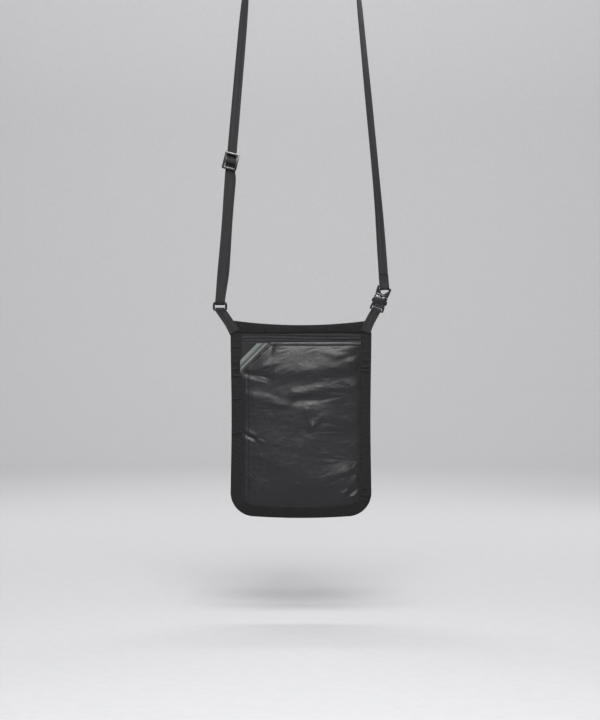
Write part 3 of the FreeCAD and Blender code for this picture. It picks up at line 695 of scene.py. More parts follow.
# Folds in the front fabric: (start x, start z, end x, end z, height, half width, how far the low side is
# steeper), in millimetres. A negative height is a valley.
FOLDS = [
    (-14, -433, 46, -429, 1.5, 9.0, 1.6),
    (-50, -431, -34, -427, 0.9, 4.5, 1.4),
    (-59, -434, -37, -437.5, -1.3, 1.9, 0.6),
    (-46, -459, -18, -465, 0.8, 5.0, 1.3),
    (-4, -455, 61, -446, 1.25, 4.6, 1.5),
    (-2, -462, 26, -459, -0.9, 4.0, 1.0),
    (6, -473, 11, -487, 0.55, 3.0, 1.0),
    (11, -488, 19, -479, 0.6, 2.6, 1.0),
    (-59, -494, -47, -499, -1.5, 1.5, 0.7),
    (-55, -491, -40, -502, 0.6, 2.4, 1.0),
    (24, -541, 61, -526, 1.35, 4.2, 1.6),
    (0, -546, 30, -547, 0.6, 5.0, 1.2),
    (38, -560, 56, -541, 1.0, 3.6, 1.5),
    (52, -557, 63, -551, 1.3, 2.4, 1.5),
    (46, -565, 64, -560, -1.5, 3.2, 0.8),
    (30, -415, 60, -425, 0.7, 3.6, 1.0),
    (-28, -406, -32, -440, -0.6, 3.4, 1.0),
    (-30, -520, 10, -540, 0.45, 7.0, 1.0),
]

# Fine slanting ripples, strongest in these patches: (x, z, radius, depth), in millimetres.
RIPPLES = [(-44, -478, 20, 0.07), (-46, -525, 24, 0.06), (50, -474, 16, 0.05)]


def fold_height(x, z):
    """The sum of the folds and ripples at a place on the front, in metres; x and z in millimetres."""
    height = 0.0
    for x0, z0, x1, z1, rise, width, steep in FOLDS:
        run_x, run_z = x1 - x0, z1 - z0
        length = math.hypot(run_x, run_z)
        along = ((x - x0) * run_x + (z - z0) * run_z) / length
        across = ((z - z0) * run_x - (x - x0) * run_z) / length
        if run_x < 0:
            across = -across
        bend = 0.12 * width * math.sin(along / length * 5 + x0)
        across += bend
        reach = width / steep if across < 0 else width * 1.15
        end = max(-along, along - length, 0) / (width * 1.8)
        height += rise * math.exp(-(across / reach) ** 2) * math.exp(-end * end)
    for x0, z0, radius, depth in RIPPLES:
        away = math.hypot(x - x0, z - z0) / radius
        swirl = noise.noise(Vector((x / 30, z / 30, 1.7))) * 3
        line = (0.80 * x + 0.60 * z + swirl) * 2 * math.pi / 3.6
        sharp = math.sin(line) + 0.35 * math.sin(2 * line + 0.8)
        height += depth * math.exp(-away * away) * sharp
    crumple = noise.fractal(Vector((x / 19, z / 12, 0.3)), 1.0, 2.2, 3)
    return (1.2 * height + 0.6 * crumple) * MM


def puff(x, z, depth=4.6 * MM):
    """How far the fabric stands off the middle layer, in metres, from the binding inwards."""
    side = edge_x(z, TAPE_WIDTH - 0.6 * MM) - abs(x)
    low = z - (POUCH_BOTTOM + TAPE_WIDTH + 0.6 * MM)
    edge = max(min(round_corner(side, low, INNER_RADIUS), low), 0.0)
    return depth * (1 - math.exp(-edge / (8.5 * MM))) * smooth_step(5 * MM, edge + 1 * MM)


def front_depth(x, z):
    """The front fabric's place in Y."""
    rise = puff(x, z)
    free = smooth_step(3.5 * MM, rise)
    cut = x - CUT_X - (z - MOUTH_Z)
    tucked = smooth_step(16 * MM, cut) * 0.75 + 0.25
    mouth = 0.82 + 0.18 * smooth_step(30 * MM, MOUTH_Z - z)
    sewn = smooth_step(3 * MM, pocket_inset(x, z) + 0.6 * MM)
    folds = fold_height(x / MM, z / MM) * (0.25 + 0.75 * free) * sewn
    band = -0.35 * MM * math.exp(-((x - SIDE_SEAM_X) / (0.9 * MM)) ** 2) * smooth_step(20 * MM, -0.425 - z)
    groove = 0.45 * MM * math.exp(-(((MOUTH_Z - z) / MM - 3.2) / 0.9) ** 2)
    return -1.05 * MM - rise * tucked * mouth - folds - band + groove


# The cloth is simulated larger than life, where the solver is steady, and no point settles past the cap.
SIM_SCALE = 10
SIM_FRAMES = 22
SETTLE_CAP = 1.9 * MM


def add_cut_shape(cloth_item, start, stretch, slant):
    """A shape key with the cloth as it was cut: longer upwards by stretch and sheared sideways by slant."""
    cloth_item.shape_key_add(name="hung")
    cut_key = cloth_item.shape_key_add(name="cut")
    flat = start.copy()
    middle = start.mean(axis=0)
    away = start - middle
    flat[:, 2] = middle[2] + away[:, 2] * (1 + stretch) + away[:, 0] * slant
    flat[:, 0] = middle[0] + away[:, 0] * (1 + stretch * 0.6)
    cut_key.data.foreach_set("co", flat.ravel())
    return cut_key


def add_cloth(cloth_item, cut_key, pressure):
    """Thin nylon pushed outwards by what is in the pocket, held by the group of pins."""
    cloth = cloth_item.modifiers.new("cloth", "CLOTH")
    rules = cloth.settings
    rules.quality = 5
    rules.mass = 0.25
    rules.tension_stiffness = 25
    rules.compression_stiffness = 25
    rules.shear_stiffness = 12
    rules.bending_stiffness = 1.2
    rules.tension_damping = 8
    rules.compression_damping = 8
    rules.shear_damping = 8
    rules.vertex_group_mass = "pins"
    rules.rest_shape_key = cut_key
    rules.use_pressure = True
    rules.uniform_pressure_force = pressure
    rules.effector_weights.gravity = 0
    cloth.collision_settings.use_collision = False
    cloth.point_cache.frame_start = 1
    cloth.point_cache.frame_end = SIM_FRAMES


def settle(item, pin_weight, stretch, slant, pressure):
    """Let a sewn-down sheet crumple: cloth cut larger than its frame, held where pin_weight(place) says."""
    copy = item.data.copy()
    start = np.array([vertex.co[:] for vertex in copy.vertices]) * SIM_SCALE
    cloth_item = bpy.data.objects.new("settling", copy)
    bpy.context.scene.collection.objects.link(cloth_item)
    copy.vertices.foreach_set("co", start.ravel())
    cut_key = add_cut_shape(cloth_item, start, stretch, slant)
    pins = cloth_item.vertex_groups.new(name="pins")
    for vertex in item.data.vertices:
        weight = pin_weight(vertex.co)
        if weight > 0:
            pins.add([vertex.index], weight, "REPLACE")
    add_cloth(cloth_item, cut_key, pressure)
    for frame_number in range(1, SIM_FRAMES + 1):
        bpy.context.scene.frame_set(frame_number)
    graph = bpy.context.evaluated_depsgraph_get()
    settled = cloth_item.evaluated_get(graph).to_mesh()
    moved = np.array([vertex.co[:] for vertex in settled.vertices]) - start
    bpy.data.objects.remove(cloth_item)
    bpy.context.scene.frame_set(1)
    moved /= SIM_SCALE
    size = np.linalg.norm(moved, axis=1, keepdims=True)
    moved *= SETTLE_CAP * np.tanh(size / SETTLE_CAP) / np.maximum(size, 1e-9)
    place = start / SIM_SCALE + moved
    item.data.vertices.foreach_set("co", place.ravel())
    item.data.update()


def pocket_inset(x, z):
    """How far a place on the pocket's face is from the binding's inner edge."""
    side = edge_x(z, TAPE_WIDTH) - abs(x)
    low = z - (POUCH_BOTTOM + TAPE_WIDTH)
    return min(round_corner(side, low, INNER_RADIUS), low)


def front_pins(place):
    """Where the pocket's face is sewn down: its rim, its hem, the cut corner and the stitched left side."""
    gap = min(pocket_inset(place.x, place.z), MOUTH_Z - 2.4 * MM - place.z)
    gap = min(gap, (place.x - CUT_X - place.z + MOUTH_Z) / math.sqrt(2) - 1.2 * MM)
    gap = min(gap, place.x - SIDE_SEAM_X)
    return 1 - smooth_step(3 * MM, gap)


def make_front_panel():
    """The front pocket's face, from the mouth down, with its corner cut off."""
    columns = spaced(-62 * MM, 62 * MM, 0.8 * MM)
    rows = spaced(POUCH_BOTTOM + 6 * MM, MOUTH_Z - 0.6 * MM, 0.8 * MM)

    def point(x, z):
        return Vector((x, front_depth(x, z), z))

    def keep(centre):
        return pocket_inset(centre.x, centre.z) > -1.8 * MM and centre.x - CUT_X > centre.z - MOUTH_Z

    item = grid_object("front_pocket_face", columns, rows, point, FABRIC, keep=keep)
    settle(item, front_pins, 0.022, 0.02, 2.0)
    thicken(item, 0.45 * MM)
    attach(item, "pouch")
    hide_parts("front_panel")


def on_front(x, z):
    """A point just in front of the pocket's face."""
    return Vector((x, front_depth(x, z) - 0.02 * MM, z))


def make_pocket_edges():
    """The rolled hem along the mouth, in the pocket's nylon painted lighter as a highlight, and the thin
    bound edge of the cut corner.
    """
    hem = []
    for x in spaced(CUT_X - 1.2 * MM, HALF_WIDTH - TAPE_WIDTH - 0.4 * MM, 1.0 * MM):
        sway = 0.25 * MM * noise.noise(Vector((x / (22 * MM), 2.0, 0.5)))
        hem.append(Vector((x, front_depth(x, MOUTH_Z - 2.0 * MM) - 0.1 * MM, MOUTH_Z - 1.1 * MM + sway)))
    # The hem roll uses the lighter nylon, a painted highlight along its rolled edge.
    roll = sweep("pocket_mouth_hem", line_frames(hem), oval(1.4 * MM, 0.85 * MM, 2.2, 16), HEM_PAINTED_HIGHLIGHT_FABRIC)
    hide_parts("pocket_hem")
    cut = []
    for step in range(45):
        x = CUT_X - CUT * step / 44 * 0.985
        z = MOUTH_Z - (CUT_X - x) - 0.7 * MM
        cut.append(Vector((x, front_depth(x + 0.6 * MM, z - 0.6 * MM) - 0.05 * MM, z)))
    trim = sweep("pocket_corner_trim", line_frames(cut), oval(0.85 * MM, 0.5 * MM, 2.6, 12), FABRIC)
    for item in (roll, trim):
        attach(item, "pouch")
    seam = [on_front(place.x + 0.7 * MM, place.z - 2.6 * MM) for place in hem[2:]]
    row = stitch_row("pocket_hem_stitches", seam, FRONT, *FINE_STITCH)
    left = [on_front(SIDE_SEAM_X, z) for z in spaced(-0.556, -0.44, 1 * MM)]
    side = stitch_row("pocket_side_stitches", left, FRONT, *FINE_STITCH)
    for item in (row, side):
        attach(item, "pouch")


def inner_depth(x, z):
    """The middle layer's front face: level creases across the strip that shows above the mouth."""
    strip = math.exp(-((z - (MOUTH_Z + 4 * MM)) / (7 * MM)) ** 2)
    waves = 0.28 * math.sin((z / MM + 0.012 * x / MM) * 2 * math.pi / 3.1 + 0.6 * math.sin(x / (17 * MM)))
    waves += 0.5 * noise.noise(Vector((x / (26 * MM), z / (3.2 * MM), 8.0)))
    fold = 0.7 * math.exp(-((z / MM + 395.6 + 0.03 * (x / MM - 42)) / 0.9) ** 2)
    fold *= math.exp(-((x / MM - 43) / 10) ** 2) + 0.7 * math.exp(-((x / MM + 57) / 6) ** 2)
    return -0.75 * MM - strip * (waves + fold) * MM * 0.8


def make_inner_panel():
    """The middle layer of the pouch, seen above the front pocket's mouth."""
    columns = spaced(-HALF_WIDTH + 3 * MM, HALF_WIDTH - 3 * MM, 1.0 * MM)
    rows = spaced(POUCH_BOTTOM + 4 * MM, POUCH_BOTTOM + 30 * MM, 1 * MM)
    rows += spaced(POUCH_BOTTOM + 34 * MM, MOUTH_Z - 30 * MM, 6 * MM)
    rows += spaced(MOUTH_Z - 29 * MM, POUCH_TOP - TOP_SAG - 2 * MM, 0.5 * MM)

    def keep(centre):
        inside = edge_x(centre.z, 3 * MM) - abs(centre.x)
        low = centre.z - (POUCH_BOTTOM + 4 * MM)
        return round_corner(inside, low, CORNER_RADIUS) > 0

    def point(x, z):
        return Vector((x, inner_depth(x, z), z))

    item = grid_object("middle_layer", columns, rows, point, LINING, 0.4 * MM, keep)
    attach(item, "pouch")
    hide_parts("inner_panel")


def make_corner_label():
    """A blank woven label in a slanting band beside the cut corner, clipped by the hem and the binding."""
    diagonal = math.sqrt(2)
    start_x, start_z = CUT_X + 1.1 * MM, MOUTH_Z - 1.6 * MM
    top_z = MOUTH_Z - 0.9 * MM
    side_x = edge_x(MOUTH_Z, TAPE_WIDTH - 1 * MM)

    def clip(down):
        """How wide the band is at a distance down the cut."""
        by_top = (top_z - start_z) * diagonal + down
        by_side = (start_x + side_x) * diagonal - down
        return max(min(LABEL_WIDTH, by_top, by_side), 0.05 * MM)

    def point(t, down):
        across = clip(down) * t
        x = start_x - (across + down) / diagonal
        z = start_z + (across - down) / diagonal
        uneven = noise.noise(Vector((across, down, 5 * MM)) / (9 * MM))
        lift = 0.1 * MM * math.sin(t * math.pi) + 0.3 * MM * uneven
        return Vector((x, -1.65 * MM - lift, z))

    steps_down = spaced(0, CUT * diagonal, 0.5 * MM)
    item = grid_object("corner_label_band", spaced(0, 1, 0.04), steps_down, point, LABEL, 0.25 * MM)
    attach(item, "pouch")
    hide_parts("corner_label")


# ---------------------------------------------------------------- the back and its zip

ZIP_LOW, ZIP_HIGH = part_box("zip_coil_lower")
ZIP_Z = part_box("zip_coil_upper")[0].z - 0.05 * MM
ZIP_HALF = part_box("zip_tape_upper")[1].x
COIL_Y = (ZIP_LOW.y + ZIP_HIGH.y) / 2
PLATE_Y = COIL_Y + 1.75 * MM
TAPE_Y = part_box("zip_tape_upper")[1].y


def back_depth(x, z):
    """The back fabric's place in Y: flatter than the front, level with the tapes beside the zip."""
    side = edge_x(z, TAPE_WIDTH - 0.6 * MM) - abs(x)
    low = z - (POUCH_BOTTOM + TAPE_WIDTH + 0.6 * MM)
    high = POUCH_TOP - TAPE_WIDTH - 2 * MM - z
    edge = max(min(round_corner(side, low, INNER_RADIUS), low, high * 1.3), 0.0)
    flat = math.exp(-((z - ZIP_Z) / (9 * MM)) ** 2)
    rise = 5.0 * MM * (1 - math.exp(-edge / (6.5 * MM)))
    crumple = noise.fractal(Vector((x / (21 * MM), z / (16 * MM), 9.3)), 0.9, 2.2, 4) * 0.55
    pull = 0.55 * math.sin((0.35 * x + z) / MM * 2 * math.pi / 23) * math.exp(-((x / MM + 30) / 40) ** 2)
    pull += 0.7 * math.exp(-((z / MM + 442 + 0.12 * x / MM) / 5) ** 2)
    pull += 0.6 * math.exp(-((z / MM + 548 - 0.25 * x / MM) / 6) ** 2)
    depth = 1.05 * MM + rise + (crumple + pull) * MM * (1 - 0.9 * flat) * smooth_step(3 * MM, rise)
    over_tape = smooth_step(7 * MM, ZIP_HALF + 8.5 * MM - abs(x))
    over_tape *= smooth_step(8 * MM, 15 * MM - abs(z - ZIP_Z))
    return depth + (max(depth, TAPE_Y + 0.55 * MM) - depth) * over_tape


def make_back_panel(name, node, end, side):
    """One of the back's two fabric pieces, above or below the zip, with its edge at the zip turned in."""
    columns = spaced(-62 * MM, 62 * MM, 1.0 * MM)
    away = [0.0, 1.45 * MM] + spaced(2.9 * MM, abs(end - ZIP_Z), 1.0 * MM)
    rows = sorted(ZIP_Z + side * gap for gap in away)

    def point(x, z):
        gap = abs(z - ZIP_Z) - 2.9 * MM
        turned = 0.9 * MM * math.exp(-max(gap, 0) / (0.5 * MM)) if abs(x) < ZIP_HALF - 2 * MM else 0.0
        return Vector((x, back_depth(x, z) - turned, z))

    def keep(centre):
        inside = edge_x(centre.z, TAPE_WIDTH - 2.4 * MM) - abs(centre.x)
        low = centre.z - (POUCH_BOTTOM + TAPE_WIDTH - 1.4 * MM)
        slot = abs(centre.z - ZIP_Z) < 2.9 * MM and abs(centre.x) < ZIP_HALF - 2.2 * MM
        return round_corner(inside, low, INNER_RADIUS + 2 * MM) > 0 and not slot

    item = grid_object(name, columns, rows, point, FABRIC, -0.45 * MM, keep)
    fix_normals(item)
    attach(item, "pouch")
    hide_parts(node)


def make_zip():
    """Tapes, two rows of meshed coil and the seams that hold the tapes."""
    for side, name in ((1, "zip_tape_upper"), (-1, "zip_tape_lower")):
        low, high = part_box(name)
        columns, rows = spaced(low.x, high.x, 1.2 * MM), spaced(low.z, high.z, 0.7 * MM)
        depth = high.y + 0.05 * MM

        def point(x, z, depth=depth):
            return Vector((x, depth + 0.1 * MM * math.sin(x / (5 * MM)), z))

        tape = grid_object(name + "_cloth", columns, rows, point, ZIP_CLOTH, -0.4 * MM)
        fix_normals(tape)
        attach(tape, "pouch")
        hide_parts(name)
        z = ZIP_Z + side * 4.6 * MM
        reach = ZIP_HALF - 1 * MM
        seam = [Vector((x, back_depth(x, z) + 0.03 * MM, z)) for x in spaced(-reach, reach, 1 * MM)]
        row = stitch_row(name + "_seam", seam, BACK, *FINE_STITCH)
        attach(row, "pouch")
        make_coil(name.replace("tape", "coil"), side)


def make_coil(node, side):
    """A row of coil turns: each turn is a small rounded hook that reaches over the middle."""
    low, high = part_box(node)
    pitch, wire = 1.3 * MM, 0.28 * MM
    vertices, faces = [], []
    section, rings = 6, 9
    for turn in range(int((high.x - low.x) / pitch)):
        x = low.x + (turn + (0.25 if side > 0 else 0.75)) * pitch
        faces += tube_faces(len(vertices), rings, section)
        for angle in spaced(-math.pi / 4, math.pi * 1.25, math.pi * 1.5 / (rings - 1)):
            reach = 0.75 * MM * math.cos(angle)
            centre = Vector((x, COIL_Y + 0.62 * MM * math.sin(angle), ZIP_Z + side * (0.85 * MM - reach)))
            radial = Vector((0, math.sin(angle), -side * math.cos(angle)))
            for index in range(section):
                around = 2 * math.pi * index / section
                vertices.append(centre + (RIGHT * math.cos(around) + radial * math.sin(around)) * wire)
    item = make_object(node + "_turns", vertices, faces, COIL)
    fix_normals(item)
    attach(item, "pouch")
    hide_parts(node)


def slider_plate(centre_x, length, height):
    """The slider's top plate, drawn in at its waist and thinner towards both ends."""
    frames, scales = [], []
    for step in range(13):
        along = step / 12 * 2 - 1
        waist = 1 - 0.18 * math.exp(-((along + 0.1) / 0.35) ** 2) - max(abs(along) - 0.75, 0)
        frames.append((Vector((centre_x + along * length * 0.98, PLATE_Y, ZIP_Z)), UP, BACK))
        scales.append((waist, 1 - 0.35 * max(abs(along) - 0.8, 0) / 0.2))
    return sweep("slider_plate", frames, oval(height, 0.6 * MM, 3.4, 20), ENAMEL, scales=scales)


def slider_wing(centre_x, length, z):
    """One of the rails under the slider's plate."""
    y = PLATE_Y - 0.85 * MM
    line = [Vector((centre_x + u * length * 0.9, y, z)) for u in (-1, -0.9, -0.5, 0, 0.5, 0.9, 1)]
    return sweep("slider_wing", line_frames(line), oval(0.5 * MM, 0.6 * MM, 2.6, 12), ENAMEL)


def slider_bridge(centre_x):
    """The arch over the slider's plate that holds the pull."""
    line = []
    for step in range(15):
        angle = math.pi * step / 14
        x = centre_x - 3.4 * MM * math.cos(angle)
        line.append(Vector((x, PLATE_Y + 0.3 * MM + 2.75 * MM * math.sin(angle), ZIP_Z)))
    return sweep("slider_bridge", line_frames(line, UP), oval(0.42 * MM, 1.0 * MM, 3, 12), ENAMEL)


def zip_stop(x):
    """A metal stop clamped over one end of the coils."""
    line = [Vector((x, COIL_Y + 0.1 * MM, ZIP_Z + u * MM)) for u in (-1.9, -1.7, -0.9, 0, 0.9, 1.7, 1.9)]
    return sweep("stop", line_frames(line, BACK), oval(0.55 * MM, 0.95 * MM, 3, 14), ENAMEL)


def make_zip_metal():
    """The slider's rounded plate with its rails and bridge, the pull, and the stops."""
    low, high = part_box("zip_slider")
    centre_x = (low.x + high.x) / 2
    length, height = (high.x - low.x) / 2, (high.z - low.z) / 2
    wings = [slider_wing(centre_x, length, ZIP_Z + side * height * 0.78) for side in (-1, 1)]
    plate = slider_plate(centre_x, length, height)
    body = join("zip_slider_body", [plate, *wings, slider_bridge(centre_x)])
    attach(body, "slider")
    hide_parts("zip_slider")
    make_zip_pull(centre_x, PLATE_Y + 2.05 * MM)
    pair = join("zip_end_stops", [zip_stop(side * (ZIP_HALF - 2.5 * MM)) for side in (-1, 1)])
    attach(pair, "pouch")
    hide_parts("zip_stops")


def make_zip_pull(x, y):
    """A flat tapered pull: a wire eye through the slider's bridge, and a tongue with a long hole."""
    loop = ((0.9, -1.5), (1.2, 0), (0.9, 1.5), (0, 1.75), (-1.6, 1.5), (-2.1, 0), (-1.6, -1.5), (0, -1.75))
    corners = [Vector((x + u * MM, y, ZIP_Z + w * MM)) for u, w in loop]
    eye = round_loop("pull_eye", corners, 0.45 * MM, ENAMEL)
    near, far = x / MM - 2.2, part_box("zip_pull")[0].x / MM
    run = near - far
    half = [(near, 1.5), (near - 0.25 * run, 1.85), (near - 0.7 * run, 2.3)]
    half += [(far + 0.9, 2.3), (far + 0.2, 1.7)]
    tongue = slab("pull_tongue", both_sides(half), 0.6, ENAMEL, y / MM)
    hole = [(far + 2.2, 0.9), (far + 5.2, 0.9), (far + 5.7, 0.5)]
    cut_out(tongue, [slab("pull_hole", both_sides(hole), 4, ENAMEL, y / MM)])
    soften(tongue, 0.22 * MM)
    item = join("zip_pull_tab", [eye, tongue])
    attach(item, "pull")
    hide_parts("zip_pull")


def both_sides(half):
    """An outline round the zip's line from half of it, given as (x, distance from the line)."""
    return [(x, ZIP_Z / MM + w) for x, w in half] + [(x, ZIP_Z / MM - w) for x, w in reversed(half)]


def round_loop(name, corners, radius, material):
    """A closed round wire through smoothed corners."""
    return sweep(name, loop_frames(corners, 6), oval(radius, radius, 2, 10), material, closed=True)


def smooth_loop(corners, steps):
    """Points of the closed quadratic spline that has the corners as its control points."""
    points = []
    count = len(corners)
    for number in range(count):
        before, here, after = corners[number - 1], corners[number], corners[(number + 1) % count]
        for step in range(steps):
            t = step / steps
            start, end = (before + here) / 2, (here + after) / 2
            points.append(start * (1 - t) ** 2 + here * 2 * t * (1 - t) + end * t * t)
    return points


def slab(name, corners, half, material, centre=0.0):
    """A flat plate with the given XZ corners, in millimetres, and half thickness."""
    count = len(corners)
    vertices = [Vector((x, centre + depth, z)) * MM for depth in (-half, half) for x, z in corners]
    faces = [tuple(range(count)), tuple(reversed(range(count, 2 * count)))]
    for index in range(count):
        after = (index + 1) % count
        faces.append((index, after, count + after, count + index))
    item = make_object(name, vertices, faces, material)
    fix_normals(item)
    return item


# ---------------------------------------------------------------- webbing

WEB_SECTION = flat_strip(WEB_WIDTH, WEB_THICK)
TURN_RADIUS = 1.9 * MM
TAB_LEG_STEPS = 25
ADJUSTER = Matrix.Translation(Vector((-70.2, 0, -222.5)) * MM) @ Matrix.Rotation(math.radians(14), 4, "Y")
BUCKLE = Matrix.Translation(BUCKLE_ORIGIN) @ Matrix.Rotation(BUCKLE_TILT, 4, "Y")

# The neck webbing's route seen from the front, buckle end first, in millimetres, with the turn of its face
# about its own length at each point: 0 faces the front, 90 faces outwards.
NECK_ROUTE = [
    ((82.4, -336.6), 4), ((79.9, -300.0), 20), ((76.8, -256.0), 38), ((58.5, -66.0), 52),
    ((55.0, -29.2), 78), ((22.6, 0.1), 90), ((-21.0, -0.1), 90), ((-53.1, -29.8), 74),
    ((-56.5, -68.0), 30), ((-69.4, -218.6), 3),
]


def nurbs_points(route, steps=14):
    """Points on the NURBS curve that has the route as its control points."""
    curve = route_curve("route", route, steps)
    mesh = bpy.data.meshes.new_from_object(curve)
    points = [vertex.co.copy() for vertex in mesh.vertices]
    bpy.data.objects.remove(curve)
    return points


def route_curve(name, route, steps):
    """A curve object of one open NURBS spline."""
    data = bpy.data.curves.new(name, "CURVE")
    data.dimensions = "3D"
    data.resolution_u = steps
    spline = data.splines.new("NURBS")
    spline.points.add(len(route) - 1)
    for point, place in zip(spline.points, route):
        point.co = (*place, 1)
    spline.order_u = 3
    spline.use_endpoint_u = True
    item = bpy.data.objects.new(name, data)
    bpy.context.scene.collection.objects.link(item)
    bpy.context.view_layer.update()
    return item


def twisted_frames(points, turns):
    """Frames along the neck webbing, each turned about the line by its own angle in degrees."""
    frames = []
    for (point, across, out), (_, along), degrees in zip(line_frames(points), along_line(points), turns):
        turn = Matrix.Rotation(math.radians(degrees), 3, along)
        frames.append((point, turn @ across, turn @ out))
    return frames


def resample(points, step):
    """Evenly spaced points along a line of points, and the line's length."""
    lengths = run_lengths(points)
    count = max(2, int(lengths[-1] / step))
    result, index = [], 0
    for number in range(count + 1):
        target = lengths[-1] * number / count
        while index < len(points) - 2 and lengths[index + 1] < target:
            index += 1
        span = lengths[index + 1] - lengths[index]
        result.append(points[index].lerp(points[index + 1], (target - lengths[index]) / span))
    return result, lengths[-1]


def make_neck_strap():
    """The single webbing over the neck, turned edge-on as it climbs."""
    route = [Vector((x, 0, z)) * MM for (x, z), _ in NECK_ROUTE]
    points, length = resample(nurbs_points(route), 2.0 * MM)
    shares = [number / (len(points) - 1) for number in range(len(points))]
    reach = run_lengths(route)
    places = [distance / reach[-1] for distance in reach]
    turns = np.interp(shares, places, [angle for _, angle in NECK_ROUTE])
    turns = np.convolve(np.pad(turns, 12, mode="edge"), np.ones(25) / 25, mode="valid")
    turns = [turn + 5 * noise.noise(Vector((share * 9, 1, 1))) for turn, share in zip(turns, shares)]
    item = sweep("neck_webbing", twisted_frames(points, turns), WEB_SECTION, WEBBING)
    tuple(points[0])
    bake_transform(item)
    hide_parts("neck_strap")
    return item, points, length


def doubled_layer(node, bar, end, side, shift, near_y, top_y):
    """One layer of the doubled webbing, from the ring's bar up to the adjuster, with a slight sway."""
    start_y = side * TURN_RADIUS
    points = []
    for step in range(90):
        share = step / 89
        sway = 0.5 * MM * math.sin(share * 5.2 + side) * math.sin(math.pi * share)
        aside = shift * smooth_step(0.25, share) * (1 - smooth_step(0.12, share - 0.88))
        y = start_y + (near_y - start_y) * smooth_step(0.13, share)
        y += (top_y - near_y) * smooth_step(0.3, share - 0.7)
        place = bar.lerp(end, share)
        points.append(Vector((place.x + aside + sway, y, place.z)))
    item = sweep(node + "_webbing", line_frames(points), WEB_SECTION, WEBBING)
    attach(item, "strap")
    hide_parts(node)
    return item


def make_loop_layers():
    """The doubled webbing from the adjuster through the ring: a front and a back layer and the turn."""
    low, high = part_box("ring_turn")
    bar = Vector(((low.x + high.x) / 2, 0, high.z))
    front_end, back_end = Vector((-69.5, 0, -218.0)) * MM, Vector((-70.62, 0, -227.0)) * MM
    front = doubled_layer("loop_front", bar, front_end, -1, -0.3 * MM, 0.1 * MM, 0.1 * MM)
    back = doubled_layer("loop_back", bar, back_end, 1, 1.9 * MM, 1.35 * MM, 1.9 * MM)
    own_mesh(back)
    frames = []
    for angle in spaced(0, math.pi, math.pi / 16):
        radial = Vector((0, -math.cos(angle), -math.sin(angle)))
        frames.append((bar + radial * TURN_RADIUS, RIGHT, radial))
    turn = sweep("ring_webbing_turn", frames, WEB_SECTION, WEBBING)
    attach(turn, "strap")
    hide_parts("ring_turn")
    return [front, back, turn]


def tab_leg(side, lean, reach, flare):
    """A tab's leg at the front (side -1) or the back, from its bar down to its sewn end."""
    leg = []
    for share in spaced(0, 1, 1 / TAB_LEG_STEPS):
        bow = 1.2 * MM * math.sin(math.pi * share) * flare
        place = lean @ Vector((bow, 0, -reach * share))
        settled = 0.25 * MM * smooth_step(0.45, share)
        pinched = 1.1 * MM * math.sin(math.pi * min(share / 0.42, 1))
        leg.append(Vector((place.x, side * (TURN_RADIUS + settled - pinched), place.z)))
    return leg


def tab_frames(line, lean, to_world):
    """The tab's sweep frames, square to the bar where it passes over it, and its width at each."""
    turn = to_world.to_3x3()
    top = len(line) // 2
    frames, scales = [], []
    for number, (place, along) in enumerate(along_line(line)):
        from_top = abs(number - top)
        square = 1 if from_top <= 5 else max(0, 1 - from_top / 16)
        slide = (lean @ RIGHT).lerp(RIGHT, square)
        across = (slide - along * slide.dot(along)).normalized()
        frames.append((to_world @ place, turn @ across, turn @ along.cross(across).normalized()))
        from_end = min(number, len(line) - 1 - number) / TAB_LEG_STEPS
        gathered = 0.94 + 0.06 * smooth_step(7, from_top - 5)
        scales.append((gathered + 0.10 * max(0, 1 - from_end * 3), 1))
    return frames, scales


def tab_stitches(name, leg, lean, reach, to_world):
    """Three rows of stitches down a tab's front leg, and two across its end."""
    out = to_world.to_3x3() @ FRONT
    surface = FRONT * (WEB_THICK / 2 + 0.02 * MM)
    rows = []
    for offset in (-3.1, -1.6, 3.1):
        row = [to_world @ (place + lean @ RIGHT * offset * MM + surface) for place in leg[1:22]]
        rows.append(stitch_row(f"{name}_row", row, out, 1.9 * MM, 1.25 * MM, 0.3 * MM))
    sewn_y = -TURN_RADIUS - 0.25 * MM
    for share in (0.04, 0.09):
        row = []
        for offset in spaced(-4.0, 4.0, 0.5):
            place = lean @ Vector((offset * MM, 0, -reach * (1 - share)))
            row.append(to_world @ (Vector((place.x, sewn_y, place.z)) + surface))
        rows.append(stitch_row(f"{name}_row", row, out, 1.7 * MM, 1.2 * MM, 0.3 * MM))
    return join(name + "_stitches", rows)


def make_tab(name, node, origin, tilt, slant, reach, flare):
    """A webbing tab: a turn over its bar and two legs sewn to the pouch's front and back."""
    to_world = Matrix.Translation(origin) @ Matrix.Rotation(tilt, 4, "Y")
    lean = Matrix.Rotation(-slant, 3, "Y")
    front = tab_leg(-1, lean, reach, flare)[::-1]
    arc = []
    for step in range(1, 12):
        angle = math.pi * step / 12
        arc.append(Vector((0, -TURN_RADIUS * math.cos(angle), TURN_RADIUS * math.sin(angle))))
    frames, scales = tab_frames(front + arc + tab_leg(1, lean, reach, flare), lean, to_world)
    item = sweep(name, frames, WEB_SECTION, WEBBING, scales=scales)
    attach(item, "pouch")
    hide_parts(node)
    sewn = tab_stitches(name, front, lean, reach, to_world)
    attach(sewn, "pouch")


def make_hump():
    """The webbing where it comes from behind the adjuster's top bar, over the middle bar and back."""
    low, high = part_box("adjuster")
    depth = (low.y + high.y) / 2
    line = []
    for share in spaced(-1, 1, 1 / 16):
        over_bar = math.exp(-(share / 0.42) ** 4)
        level = 1 - math.exp(-(share / 0.5) ** 4)
        y = depth - 1.75 * MM * over_bar + level * (0.3 * MM - depth)
        line.append(Vector((0, y, share * 6.2 * MM)))
    item = sweep("adjuster_webbing", placed_frames(line, ADJUSTER), WEB_SECTION, WEBBING)
    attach(item, "adjuster")
    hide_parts("strap_hump")
    return item


